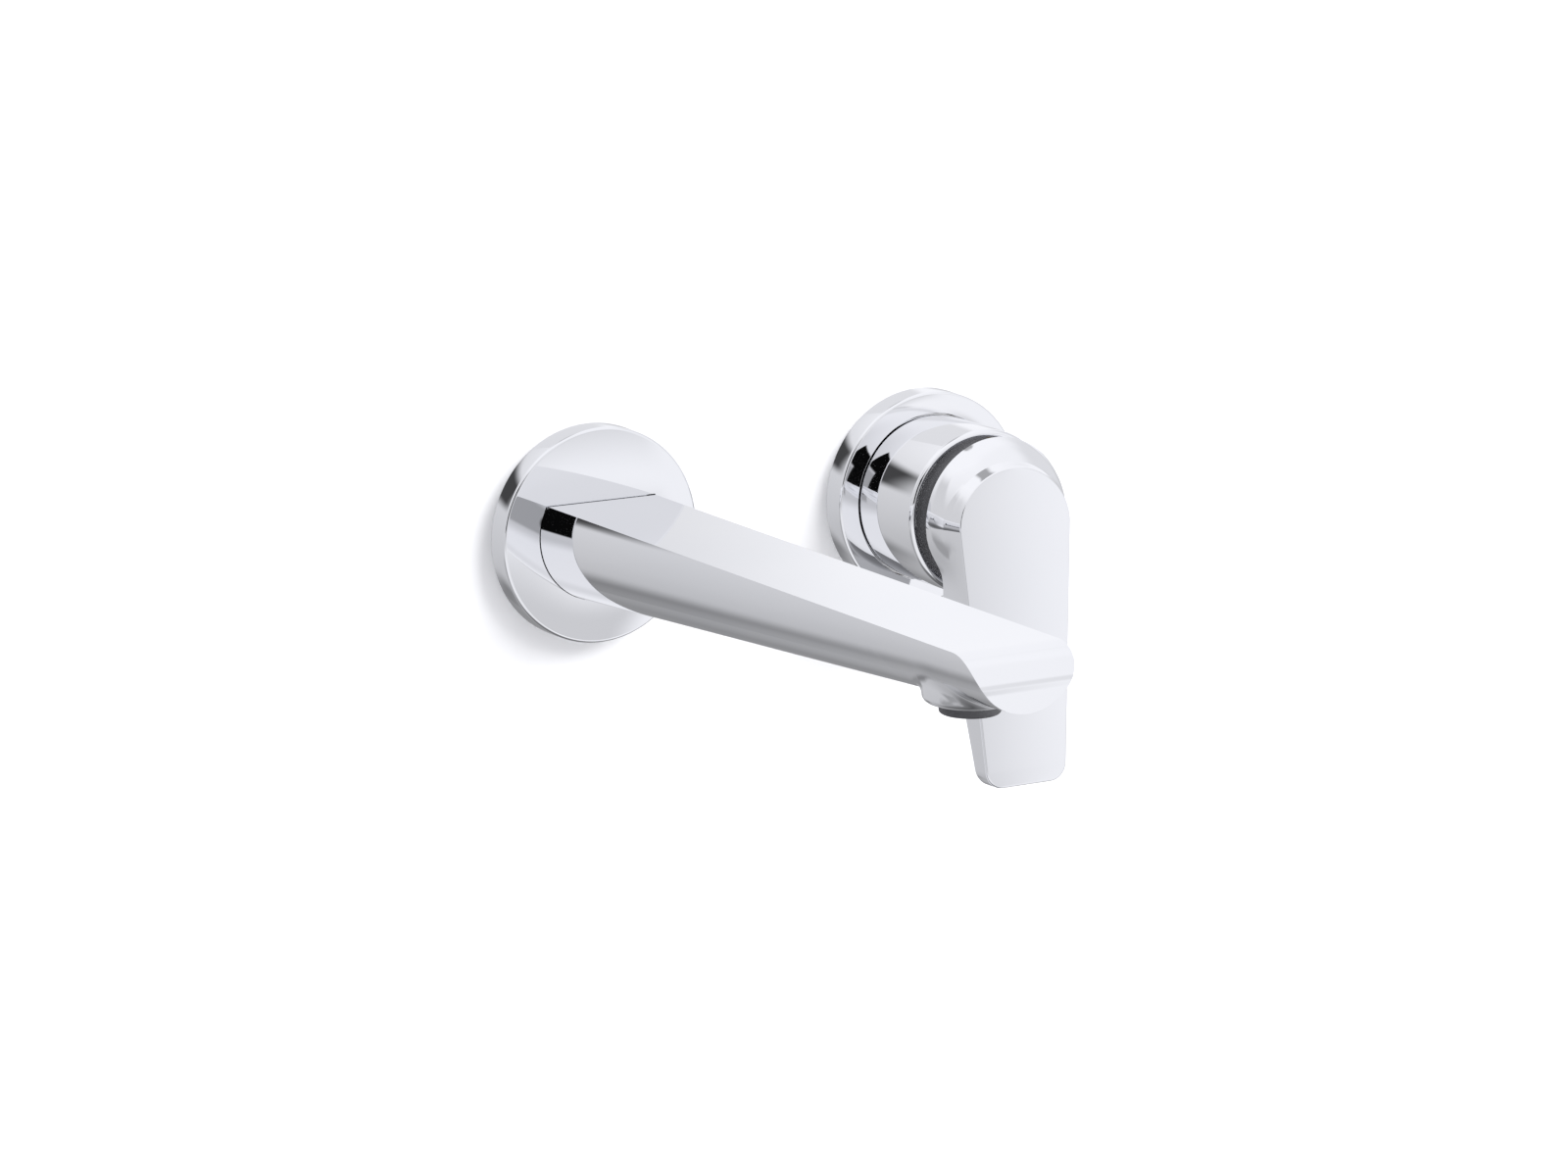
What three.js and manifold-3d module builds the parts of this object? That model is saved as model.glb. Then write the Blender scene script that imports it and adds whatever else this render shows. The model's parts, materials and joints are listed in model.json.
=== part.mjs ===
// Wall mounted bath faucet: a spout and a single lever handle on two round wall plates, with the
// ceramic cartridge inside the handle and the in-wall valve that feeds the spout.
// Millimetres, +Z up, +X to the right, +Y into the wall. The origin is on the finished wall at the
// centre of the spout, and the handle's axis is HANDLE_X to the right of it.
import * as THREE from 'three';
import { mergeVertices } from 'three/addons/utils/BufferGeometryUtils.js';
import Module from 'manifold-3d';

const wasm = await Module();
wasm.setup();

// ---------------------------------------------------------------- driving dimensions
const HANDLE_X = 117;          // handle axis to spout axis
const GAP = 0.3;               // clearance between pieces that touch
const ROUND = 40;              // sides of a large round
const MEDIUM = 24;             // sides of a medium round
const SMALL = 12;              // sides of a small round

const PLATE = { radius: 33.2, frontRadius: 32.5, depth: 8, face: 4.5, rim: 2.8 };

const SPOUT = {
  reach: 243.4,                // wall to the front of the nose
  top: 10.8,                   // height of the flat top above the axis
  rootHalfWidth: 18.45,
  tipHalfWidth: 16.75,
  rootBottom: 20.4,            // depth of the underside below the axis at the wall
  outletBottom: 6.8,           // the same at the outlet boss
  tipBottom: 5.7,              // the same at the nose
  noseRadius: 11,              // rounding from the flat top down to the nose
  start: 1,                    // the spout's end stands this far off the wall
  socketRadius: 9.6,
  socketDepth: 34,
  waterway: 5.5,               // radius of the water channel
};
const NIPPLE = { z: -4.5, radius: 9.2, bore: 6.2, front: -31, back: 16 };
const O_RING = { radius: 8.7, section: 0.75, grooveFloor: 7.7, grooveHalf: 1.3 };
const O_RINGS = { front: -27, rear: -21 };   // where the spout's o-rings sit
const SPOUT_SCREW = { y: -18, radius: 2.4, from: -14.1, to: -19, hole: 2.8 };
const OUTLET = { reach: 215, bossRadius: 13.2, bossBottom: -9.3, chamberRadius: 8.8, waterZ: 2.6 };
const AERATOR = { radius: 8.5, bottom: -11.2, bore: 6.8, top: -4.5 };

const SLEEVE = { radius: 26, bore: 23.6, front: -38 };
const CAP = { radius: 25, back: -45.2, cavityRadius: 20, step: -49.5, deepRadius: 17, ceiling: -52.5 };
const FACE = { y: -56.7, lean: 0.1008 };      // front plane of the lever: y = FACE.y + lean * z
const BLADE = {
  faceHalfWidth: 20.05,        // widest half width of the flat face
  faceTop: 17.2,               // top of the flat face
  ovalHeight: 18.1,            // half height of the oval that tops the face
  taper: 0.0758,               // narrowing of each side per millimetre downwards
  bottom: -80.2,
  corner: 5.5,
};
const PIVOT_Y = -30;           // tilt axis of the lever
const PIN = { radius: 1.2, halfLength: 9.4, hole: 1.5 };
const STEM = { halfSize: 3.7, front: -50, neck: 2.2, ballY: -12, ballRadius: 3 };
const HUB = { radius: 9, back: -41, socketHalf: 5.6, socketFloor: -51.6 };
const HANDLE_SCREW = { y: -47.6, radius: 2.4, hole: 2.7, outer: 10.5, plugFrom: 20.8, plugTo: 23 };
const COVER = { tube: 22.6, ball: 24, wall: 1.4, back: -14.6, ballStart: -38, ballEnd: -44 };

const VALVE = {
  neckRadius: 20.5,
  neckFront: -14,
  bore: 17.8,
  mouthRadius: 19,
  mouthDepth: 8,
  seat: 10,
  barrelRadius: 24,
  barrelFront: 3,
  back: 36.2,
  inletX: 17,                  // each supply inlet to the handle's axis
  inletTop: -8,
  inletBottom: -50,
  inletRadius: 12.5,
  inletHex: 15,
  inletHexHeight: 12,
  inletSocket: 10.2,
  inletSocketDepth: 14,
  supplyBore: 6,
  galleryBore: 4.2,
};
const ELBOW = { radius: 17, front: 4, sideReach: 32, socketEnd: 16.5, chamber: 8, chamberEnd: 27.5 };
const CROSSOVER = {
  y: 22,
  z: 8.5,
  radius: 8,
  bore: 6.6,
  bossRadius: 11,
  channel: 4.5,
  left: 22.5,                  // ends of the tube
  right: HANDLE_X - 26.5,
  nutRadius: 13,
  nutLength: 9.7,
};
const BRACKET = { front: 36.5, thickness: 2.5, halfHeight: 26, left: -42, right: HANDLE_X + 42 };
const WINDOW = { left: 30, right: 80, halfHeight: 12 };
const SLOT = { inset: 9, z: 16, halfWidth: 2.6, halfHeight: 6 };
const SCREW = { radius: 2, hole: 2.3, head: 4, headHeight: 2.4, recess: 1.6 };
const VALVE_SCREW_Z = [-17, 17.5];
const VALVE_SCREW_TIP = 28.5;
const ELBOW_SCREW_X = [-12.5, 12.5];
const ELBOW_SCREW_TIP = 30;
const PORT_RADIUS = 3;
const PORTS = [
  { name: 'hot', x: -6, z: -3.5 },
  { name: 'cold', x: 6, z: -3.5 },
  { name: 'outlet', x: 0, z: 6.5 },
];
const DISC_REST_Z = 2.1;       // the moving disc's offset when the lever is closed

// ---------------------------------------------------------------- finishes
const finish = (color, roughness, metalness) => ({ color, roughness, metalness });
const CHROME = finish(0xe9eaef, 0.05, 1);
const BRASS = finish(0xb8965a, 0.35, 1);
const STEEL = finish(0x9b9da0, 0.3, 1);
const COPPER = finish(0xb87350, 0.35, 1);
const RUBBER = finish(0x1b1b1c, 0.85, 0);
const FOAM = finish(0x3a3b3d, 0.95, 0);
const DARK_PLASTIC = finish(0x242528, 0.5, 0);
const WHITE_PLASTIC = finish(0xd9d9d4, 0.5, 0);
const GREY_PLASTIC = finish(0x55585c, 0.5, 0);
const CERAMIC = finish(0xefeee8, 0.25, 0);

// ---------------------------------------------------------------- solids
function signedVolume(positions, triangles) {
  const a = new THREE.Vector3();
  const b = new THREE.Vector3();
  const c = new THREE.Vector3();
  let volume = 0;
  for (let i = 0; i < triangles.length; i += 3) {
    a.fromArray(positions, triangles[i] * 3);
    b.fromArray(positions, triangles[i + 1] * 3);
    c.fromArray(positions, triangles[i + 2] * 3);
    volume += a.dot(b.cross(c)) / 6;
  }
  return volume;
}

// A closed three.js geometry becomes a manifold solid, whichever way its faces were wound.
function solid(geometry) {
  geometry.deleteAttribute('normal');
  geometry.deleteAttribute('uv');
  const merged = mergeVertices(geometry, 1e-3);
  const positions = new Float32Array(merged.attributes.position.array);
  const triangles = [];
  for (let i = 0; i < merged.index.count; i += 3) {
    const corner = [0, 1, 2].map((k) => merged.index.getX(i + k));
    if (new Set(corner).size === 3) triangles.push(...corner);
  }
  if (signedVolume(positions, triangles) < 0) triangles.reverse();
  return new wasm.Manifold(new wasm.Mesh({
    numProp: 3,
    vertProperties: positions,
    triVerts: new Uint32Array(triangles),
  }));
}

function geometryOf(body) {
  const mesh = body.getMesh();
  const geometry = new THREE.BufferGeometry();
  geometry.setAttribute('position', new THREE.BufferAttribute(mesh.vertProperties.slice(), 3));
  geometry.setIndex(new THREE.BufferAttribute(mesh.triVerts.slice(), 1));
  geometry.computeVertexNormals();
  return geometry;
}

// Turns a geometry made along Y so that it lies along another axis, then moves it to its place.
function place(geometry, axis, x, y, z) {
  if (axis === 'x') geometry.rotateZ(-Math.PI / 2);
  if (axis === 'z') geometry.rotateX(Math.PI / 2);
  return geometry.translate(x, y, z);
}

// A solid of revolution: profile points are [radius, distance along the axis].
function turned(profile, sides, axis = 'y', x = 0, y = 0, z = 0) {
  const points = profile.map(([radius, along]) => new THREE.Vector2(radius, along));
  return solid(place(new THREE.LatheGeometry(points, sides), axis, x, y, z));
}

function rod(radius, from, to, sides, axis = 'y', x = 0, y = 0, z = 0) {
  return turned([[0, from], [radius, from], [radius, to], [0, to]], sides, axis, x, y, z);
}

function ring(outer, inner, from, to, sides, axis = 'y', x = 0, y = 0, z = 0) {
  const profile = [[inner, from], [outer, from], [outer, to], [inner, to], [inner, from]];
  return turned(profile, sides, axis, x, y, z);
}

// A hexagonal nut with a round hole. Its outer radius is measured to the corners.
function hexNut(outer, inner, from, to, axis = 'y', x = 0, y = 0, z = 0) {
  return rod(outer, from, to, 6, axis, x, y, z)
    .subtract(rod(inner, from - 1, to + 1, MEDIUM, axis, x, y, z));
}

// A ring of round section, such as an o-ring, about the Y axis.
function roundRing(radius, section, along, sides, z = 0) {
  const steps = 6;
  const profile = [];
  for (let i = 0; i <= steps; i += 1) {
    const angle = (i % steps) * 2 * Math.PI / steps;
    profile.push([radius + section * Math.cos(angle), along + section * Math.sin(angle)]);
  }
  return turned(profile, sides, 'y', 0, 0, z);
}

function block(x0, x1, y0, y1, z0, z1) {
  const box = new THREE.BoxGeometry(x1 - x0, y1 - y0, z1 - z0);
  return solid(box.translate((x0 + x1) / 2, (y0 + y1) / 2, (z0 + z1) / 2));
}

// A skin through rings that all have the same number of points, closed by a fan at each end.
function loft(rings) {
  const count = rings[0].length;
  const centre = (points) => points.reduce((sum, p) => sum.add(p), new THREE.Vector3())
    .divideScalar(count);
  const vertices = [...rings.flat(), centre(rings[0]), centre(rings[rings.length - 1])];
  const first = rings.length * count;
  const lastRing = (rings.length - 1) * count;
  const triangles = [];
  for (let i = 0; i < count; i += 1) {
    const next = (i + 1) % count;
    for (let level = 0; level < rings.length - 1; level += 1) {
      const low = level * count;
      const high = low + count;
      triangles.push(low + i, low + next, high + next);
      triangles.push(low + i, high + next, high + i);
    }
    triangles.push(first, next, i);
    triangles.push(first + 1, lastRing + i, lastRing + next);
  }
  const geometry = new THREE.BufferGeometry().setFromPoints(vertices);
  geometry.setIndex(triangles);
  return solid(geometry);
}

const mix = (a, b, t) => a + (b - a) * t;
const clamp01 = (t) => Math.min(1, Math.max(0, t));
const smooth = (t) => clamp01(t) ** 2 * (3 - 2 * clamp01(t));

// ---------------------------------------------------------------- spout
// The spout's section at a distance from the wall: a round underside cut off by the flat top.
function spoutSection(reach, grow = 0) {
  const along = clamp01(reach / SPOUT.reach);
  const half = mix(SPOUT.rootHalfWidth, SPOUT.tipHalfWidth, along) + grow;
  const top = SPOUT.top + grow;
  const pastOutlet = (reach - OUTLET.reach) / (SPOUT.reach - OUTLET.reach);
  const depth = pastOutlet < 0
    ? mix(SPOUT.rootBottom, SPOUT.outletBottom, reach / OUTLET.reach)
    : mix(SPOUT.outletBottom, SPOUT.tipBottom, pastOutlet);
  const bottom = depth + grow;
  const centreZ = (half ** 2 + top ** 2 - bottom ** 2) / (2 * (top + bottom));
  const radius = bottom + centreZ;
  const start = Math.PI - Math.atan2(top - centreZ, half);
  const sweep = 3 * Math.PI - 2 * start;
  const steps = 24;
  const points = [];
  for (let i = 0; i <= steps; i += 1) {
    const angle = start + sweep * i / steps;
    const z = centreZ + radius * Math.sin(angle);
    points.push(new THREE.Vector3(radius * Math.cos(angle), -reach, z));
  }
  return points;
}

// The side view of the spout's nose: everything in front of the wall, with the top edge rounded.
function noseProfile() {
  const shape = new THREE.Shape();
  const r = SPOUT.noseRadius;
  shape.moveTo(10, -40);
  shape.lineTo(10, SPOUT.top);
  shape.lineTo(-SPOUT.reach + r, SPOUT.top);
  shape.absarc(-SPOUT.reach + r, SPOUT.top - r, r, Math.PI / 2, Math.PI, false);
  shape.lineTo(-SPOUT.reach, -40);
  const width = 60;
  const options = { depth: width, bevelEnabled: false, curveSegments: 10 };
  const geometry = new THREE.ExtrudeGeometry(shape, options).translate(0, 0, -width / 2);
  const shapeX = new THREE.Vector3(0, 1, 0);
  const shapeY = new THREE.Vector3(0, 0, 1);
  const across = new THREE.Vector3(1, 0, 0);
  return solid(geometry.applyMatrix4(new THREE.Matrix4().makeBasis(shapeX, shapeY, across)));
}

// The outlet boss: round at its mouth, and flaring to an oval that runs into the spout's underside.
function outletBoss() {
  const { bossRadius: r, bossBottom } = OUTLET;
  const levels = [
    { z: bossBottom, halfX: r - 1.1, halfY: r - 1.1 },
    { z: bossBottom + 1, halfX: r, halfY: r },
    { z: -5, halfX: r + 0.5, halfY: r + 2 },
    { z: -1.5, halfX: r + 1.3, halfY: r + 5.5 },
    { z: 4, halfX: r + 2, halfY: r + 7 },
  ];
  return loft(levels.map(({ z, halfX, halfY }) => Array.from({ length: MEDIUM }, (_, i) => {
    const angle = 2 * Math.PI * i / MEDIUM;
    return new THREE.Vector3(halfX * Math.cos(angle), -OUTLET.reach + halfY * Math.sin(angle), z);
  })));
}

// The water channel from the wall socket to the chamber over the aerator rises a little.
function spoutWaterway() {
  const overlap = 4;
  const length = OUTLET.reach - SPOUT.socketDepth + overlap;
  const channel = new THREE.CylinderGeometry(SPOUT.waterway, SPOUT.waterway, length, SMALL);
  channel.rotateX(Math.atan2(NIPPLE.z - OUTLET.waterZ, length));
  const middleY = -(OUTLET.reach + SPOUT.socketDepth - overlap) / 2;
  return solid(channel.translate(0, middleY, (NIPPLE.z + OUTLET.waterZ) / 2));
}

function spoutBody() {
  const { bossBottom, chamberRadius, reach: outletReach } = OUTLET;
  const stations = [SPOUT.start, 40, 80, 120, 160, 190, outletReach, 230, SPOUT.reach + 1];
  const shell = loft(stations.map((reach) => spoutSection(reach))).intersect(noseProfile());
  const cuts = [
    rod(SPOUT.socketRadius, -SPOUT.socketDepth, 5, MEDIUM, 'y', 0, 0, NIPPLE.z),
    spoutWaterway(),
    rod(chamberRadius, bossBottom - 5, 1, MEDIUM, 'z', 0, -outletReach, 0),
    rod(SPOUT_SCREW.hole, -30, -5, SMALL, 'z', 0, SPOUT_SCREW.y, 0),
  ];
  return cuts.reduce((body, cut) => body.subtract(cut), shell.add(outletBoss()));
}

function spoutNipple() {
  const { radius, bore, front, back, z } = NIPPLE;
  const { grooveFloor, grooveHalf } = O_RING;
  const tube = ring(radius, bore, front, back, MEDIUM, 'y', 0, 0, z);
  const grooves = Object.values(O_RINGS)
    .map((y) => ring(radius + 3, grooveFloor, y - grooveHalf, y + grooveHalf, MEDIUM, 'y', 0, 0, z));
  return grooves.reduce((body, groove) => body.subtract(groove), tube);
}

// ---------------------------------------------------------------- wall plates
function wallPlate(hole, x) {
  const recess = -PLATE.depth + PLATE.face;
  const inside = PLATE.radius - PLATE.rim;
  return turned([
    [hole, -PLATE.depth],
    [hole, recess],
    [inside, recess],
    [inside, 0],
    [PLATE.radius, 0],
    [PLATE.radius - 0.2, -PLATE.depth + 0.8],
    [PLATE.frontRadius, -PLATE.depth],
    [hole, -PLATE.depth],
  ], ROUND, 'y', x);
}

function spoutPlate() {
  const hole = loft([-5, 20].map((reach) => spoutSection(reach, GAP)));
  return wallPlate(12, 0).subtract(hole);
}

// ---------------------------------------------------------------- handle
// The right half of the flat face's outline from top to bottom, as [half width, z]: an oval top,
// straight sides that narrow downwards, and a bottom edge with round corners.
function leverOutline(steps) {
  const ovalZ = BLADE.faceTop - BLADE.ovalHeight;
  const cornerZ = BLADE.bottom + BLADE.corner;
  const right = [];
  const ovalSteps = Math.round(steps * 0.45);
  for (let i = 0; i <= ovalSteps; i += 1) {
    const angle = (Math.PI / 2) * i / ovalSteps;
    right.push([BLADE.faceHalfWidth * Math.sin(angle), ovalZ + BLADE.ovalHeight * Math.cos(angle)]);
  }
  const sideSteps = Math.round(steps * 0.35);
  for (let i = 1; i <= sideSteps; i += 1) {
    const z = mix(ovalZ, cornerZ, i / sideSteps);
    right.push([BLADE.faceHalfWidth - BLADE.taper * (ovalZ - z), z]);
  }
  const cornerHalf = right[right.length - 1][0];
  const cornerSteps = steps - ovalSteps - sideSteps;
  for (let i = 1; i <= cornerSteps; i += 1) {
    const angle = (Math.PI / 2) * i / cornerSteps;
    right.push([
      cornerHalf - BLADE.corner * (1 - Math.cos(angle)) - 0.2 * Math.sin(angle),
      cornerZ - BLADE.corner * Math.sin(angle),
    ]);
  }
  return right;
}

// The same outline as seen further back. On the cap it swells to a circle, and on the blade it
// stays close to the face. The swell is 0 at the face and 1 at the back of the cap.
function leverRing(outline, sideSwell, topSwell, depthY) {
  const points = outline.map(([half, z]) => {
    const onCap = smooth((z + 27) / 24);
    const swell = mix(sideSwell, topSwell, clamp01(z / BLADE.faceTop));
    const stretch = mix(1, CAP.radius / Math.hypot(half, z), onCap * swell);
    const flare = mix(0.5, 0, onCap) * swell * Math.sign(half);
    return new THREE.Vector3(half * stretch + flare, depthY(z), z * stretch);
  });
  const mirrored = points.slice(1, -1).reverse().map((p) => new THREE.Vector3(-p.x, p.y, p.z));
  const bottom = points[points.length - 1];
  const closing = bottom.x > 0.01 ? [new THREE.Vector3(-bottom.x, bottom.y, bottom.z)] : [];
  return [...points, ...closing, ...mirrored];
}

const faceY = (z) => FACE.y + FACE.lean * z;
// The back of the blade: level with the cap's back edge at the top, and thinner to the tip.
const bladeBackY = (z) => CAP.back - 0.3 * Math.max(0, -z - 25) + 0.0008 * Math.max(0, -z - 25) ** 2;
// The crease between the face's side wall and the cap's shoulder dies out down the blade.
const creaseY = (z) => faceY(z) + mix(0.5, z > 0 ? mix(5.5, 3.2, z / BLADE.faceTop) : 5.5,
  smooth((z + 48) / 45));

function leverShell() {
  const outline = leverOutline(26);
  const crease = leverRing(outline, 0.4, 0.17, creaseY);
  const shoulder = leverRing(outline, 0.75, 0.65, (z) => mix(creaseY(z), bladeBackY(z), 0.5));
  const back = leverRing(outline, 1, 1, bladeBackY);
  const face = leverRing(outline, 0, 0, faceY);
  return loft([back, shoulder, crease, face]);
}

function handleLever() {
  const cavity = rod(CAP.cavityRadius, CAP.back + 3, CAP.step, ROUND);
  const deepCavity = rod(CAP.deepRadius, CAP.step + 0.5, CAP.ceiling, ROUND);
  const hub = rod(HUB.radius, HUB.back, CAP.ceiling - 1, MEDIUM);
  const half = HUB.socketHalf;
  const socket = block(-half, half, HUB.socketFloor, HUB.back + 1, -half, half);
  const screwHole = rod(HANDLE_SCREW.hole, 4, 30, SMALL, 'x', 0, HANDLE_SCREW.y, 0);
  const body = leverShell().subtract(cavity).subtract(deepCavity).add(hub);
  return body.subtract(socket).subtract(screwHole);
}

function squareTube(outerHalf, innerHalf, from, to) {
  return block(-outerHalf, outerHalf, from, to, -outerHalf, outerHalf)
    .subtract(block(-innerHalf, innerHalf, from - 1, to + 1, -innerHalf, innerHalf));
}

function handleBush() {
  const screwHole = rod(HANDLE_SCREW.hole, 0, 10, SMALL, 'x', 0, HANDLE_SCREW.y, 0);
  const front = HUB.socketFloor + 2 * GAP;
  return squareTube(HUB.socketHalf - GAP, STEM.halfSize + GAP, front, HUB.back - GAP)
    .subtract(screwHole);
}

// A headless screw along an axis, with a hexagon socket in its outer end.
function grubScrew(radius, from, to, axis, y) {
  const depth = (to - from) * 0.4;
  const outer = Math.sign(to - from);
  return rod(radius, from, to, SMALL, axis, 0, y, 0)
    .subtract(rod(radius * 0.55, to - depth, to + outer, 6, axis, 0, y, 0));
}

function cartridgeStem() {
  const { halfSize, front, neck: neckRadius, ballY, ballRadius } = STEM;
  const bar = block(-halfSize, halfSize, front, PIVOT_Y + 4, -halfSize, halfSize);
  const neck = rod(neckRadius, PIVOT_Y + 3, ballY, SMALL);
  const ball = solid(new THREE.SphereGeometry(ballRadius, SMALL, 10).translate(0, ballY, 0));
  const pinHole = rod(PIN.hole, -10, 10, SMALL, 'x', 0, PIVOT_Y, 0);
  return bar.add(neck).add(ball).subtract(pinHole);
}

// ---------------------------------------------------------------- cartridge
function leverGuide() {
  const drum = turned([
    [0, -33.8],
    [10.2, -33.8],
    [10.2, -27.2],
    [12.3, -27.2],
    [12.3, -14],
    [0, -14],
  ], MEDIUM);
  const slot = block(-4, 4, -35, -13, -7.6, 5.3);
  const pinHole = rod(PIN.hole, -13, 13, SMALL, 'x', 0, PIVOT_Y, 0);
  return drum.subtract(slot).subtract(pinHole);
}

function cartridgeHousing() {
  return turned([
    [12.6, 4],
    [17.5, 4],
    [17.5, -5.9],
    [14.1, -5.9],
    [14.1, -34],
    [10.5, -34],
    [10.5, -27.5],
    [12.6, -27.5],
    [12.6, 4],
  ], MEDIUM);
}

function withPorts(body, radius, from, to) {
  const holes = PORTS.map((port) => rod(radius, from, to, SMALL, 'y', port.x, 0, port.z));
  return holes.reduce((left, hole) => left.subtract(hole), body);
}

function cartridgeBase() {
  const plate = turned([
    [0, 2.7],
    [12.3, 2.7],
    [12.3, 4.3],
    [17.4, 4.3],
    [17.4, 9.6],
    [0, 9.6],
  ], MEDIUM);
  return withPorts(withPorts(plate, PORT_RADIUS, 0, 12), 4.9, 8.2, 12);
}

function discCarrier() {
  const puck = rod(10.1, -13.6, -5, MEDIUM, 'y', 0, 0, DISC_REST_Z);
  return puck.subtract(block(-3.4, 3.4, -15, -8.2, -3.6, 3.6));
}

function movingDisc() {
  const disc = rod(9.8, -4.7, -1.7, MEDIUM, 'y', 0, 0, DISC_REST_Z);
  return disc.subtract(rod(6, -2.9, 0, MEDIUM, 'y', 0, 0, DISC_REST_Z));
}

function cartridgeNut() {
  const head = hexNut(20.4, 14.5, -20, -14.3);
  const thread = ring(18.6, 14.5, -15, -6.3, MEDIUM);
  return head.add(thread);
}

// Round cover over the cartridge: a tube that closes in as a ball centred on the tilt axis.
function cartridgeCover() {
  const { tube, ball, wall, back, ballStart, ballEnd } = COVER;
  const steps = 3;
  const profile = [[tube - wall, back], [tube, back]];
  for (let i = 0; i <= steps; i += 1) {
    const y = mix(ballStart, ballEnd, i / steps);
    profile.push([Math.sqrt(ball ** 2 - (y - PIVOT_Y) ** 2), y]);
  }
  for (let i = steps; i >= 0; i -= 1) {
    const y = mix(ballStart, ballEnd, i / steps);
    profile.push([Math.sqrt((ball - wall) ** 2 - (y - PIVOT_Y) ** 2), y]);
  }
  profile.push([tube - wall, back]);
  return turned(profile, ROUND);
}

// ---------------------------------------------------------------- in-wall valve
// A round hole or boss along X at the crossover's height.
function crossRod(radius, from, to, sides) {
  return rod(radius, from, to, sides, 'x', 0, CROSSOVER.y, CROSSOVER.z);
}

// One supply inlet: an upright boss that ends in a hexagon.
function supplyInlet(x) {
  const { inletRadius, inletTop, inletBottom, inletHex, inletHexHeight } = VALVE;
  return rod(inletRadius, inletBottom, inletTop, MEDIUM, 'z', x, CROSSOVER.y, 0)
    .add(rod(inletHex, inletBottom, inletBottom + inletHexHeight, 6, 'z', x, CROSSOVER.y, 0));
}

// What is cut out of one inlet: the pipe socket, the rise and the gallery to its port.
function supplyChannel(x) {
  const { inletBottom, inletSocket, inletSocketDepth, supplyBore, galleryBore } = VALVE;
  const portZ = PORTS[0].z;
  const end = x + 2 * Math.sign(x);
  const socketEnd = inletBottom + inletSocketDepth;
  return rod(inletSocket, inletBottom - 1, socketEnd, MEDIUM, 'z', x, CROSSOVER.y, 0)
    .add(rod(supplyBore, inletBottom - 1, portZ, SMALL, 'z', x, CROSSOVER.y, 0))
    .add(rod(galleryBore, 3 * Math.sign(x), end, SMALL, 'x', 0, CROSSOVER.y, portZ));
}

function valveBody() {
  const { neckFront, neckRadius, barrelFront, barrelRadius, back, seat, bore } = VALVE;
  const barrel = turned([
    [0, neckFront],
    [neckRadius, neckFront],
    [neckRadius, barrelFront],
    [barrelRadius, barrelFront],
    [barrelRadius, back],
    [0, back],
  ], MEDIUM);
  const inletXs = [-VALVE.inletX, VALVE.inletX];
  const cuts = [
    rod(bore, neckFront - 1, seat, MEDIUM),
    rod(VALVE.mouthRadius, neckFront - 1, neckFront + VALVE.mouthDepth, MEDIUM),
    crossRod(CROSSOVER.channel, -39, 3, SMALL),
    crossRod(CROSSOVER.radius + GAP, -39, -26, MEDIUM),
    ...inletXs.map(supplyChannel),
    ...VALVE_SCREW_Z.map((z) => rod(SCREW.hole, 28, back + 1, SMALL, 'y', 0, 0, z)),
  ];
  const body = inletXs.reduce((left, x) => left.add(supplyInlet(x)), barrel)
    .add(crossRod(CROSSOVER.bossRadius, -38, 0, MEDIUM));
  const ported = withPorts(body, PORT_RADIUS, seat - 1, CROSSOVER.y);
  return cuts.reduce((left, cut) => left.subtract(cut), ported);
}

function spoutElbow() {
  const { radius, front, sideReach, socketEnd, chamber, chamberEnd } = ELBOW;
  const body = rod(radius, front, VALVE.back, MEDIUM, 'y', 0, 0, NIPPLE.z)
    .add(crossRod(CROSSOVER.bossRadius, 0, sideReach, MEDIUM));
  const cuts = [
    rod(NIPPLE.radius + GAP, front - 1, socketEnd, MEDIUM, 'y', 0, 0, NIPPLE.z),
    rod(chamber, socketEnd - 0.5, chamberEnd, MEDIUM, 'y', 0, 0, NIPPLE.z),
    crossRod(CROSSOVER.channel, 0, sideReach + 1, SMALL),
    crossRod(CROSSOVER.radius + GAP, CROSSOVER.left - 0.5, sideReach + 1, MEDIUM),
    ...ELBOW_SCREW_X.map((x) => rod(SCREW.hole, 29.5, VALVE.back + 1, SMALL, 'y', x, 0, NIPPLE.z)),
  ];
  return cuts.reduce((left, cut) => left.subtract(cut), body);
}

function crossoverTube() {
  const { radius, bore, left, right, y, z } = CROSSOVER;
  return ring(radius, bore, left, right, MEDIUM, 'x', 0, y, z);
}

function tubeNut(from) {
  const { nutRadius, nutLength, radius, y, z } = CROSSOVER;
  return hexNut(nutRadius, radius + GAP, from, from + nutLength, 'x', 0, y, z);
}

function bracket() {
  const { front, thickness, halfHeight, left, right } = BRACKET;
  const from = front - 1;
  const to = front + thickness + 1;
  const plate = block(left, right, front, front + thickness, -halfHeight, halfHeight);
  const slot = (x, z) => block(x - SLOT.halfWidth, x + SLOT.halfWidth, from, to,
    z - SLOT.halfHeight, z + SLOT.halfHeight);
  const slotXs = [left + SLOT.inset, right - SLOT.inset];
  const cuts = [
    block(WINDOW.left, WINDOW.right, from, to, -WINDOW.halfHeight, WINDOW.halfHeight),
    ...slotXs.flatMap((x) => [slot(x, -SLOT.z), slot(x, SLOT.z)]),
    ...ELBOW_SCREW_X.map((x) => rod(SCREW.hole, from, to, SMALL, 'y', x, 0, NIPPLE.z)),
    ...VALVE_SCREW_Z.map((z) => rod(SCREW.hole, from, to, SMALL, 'y', HANDLE_X, 0, z)),
  ];
  return cuts.reduce((body, cut) => body.subtract(cut), plate);
}

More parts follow.
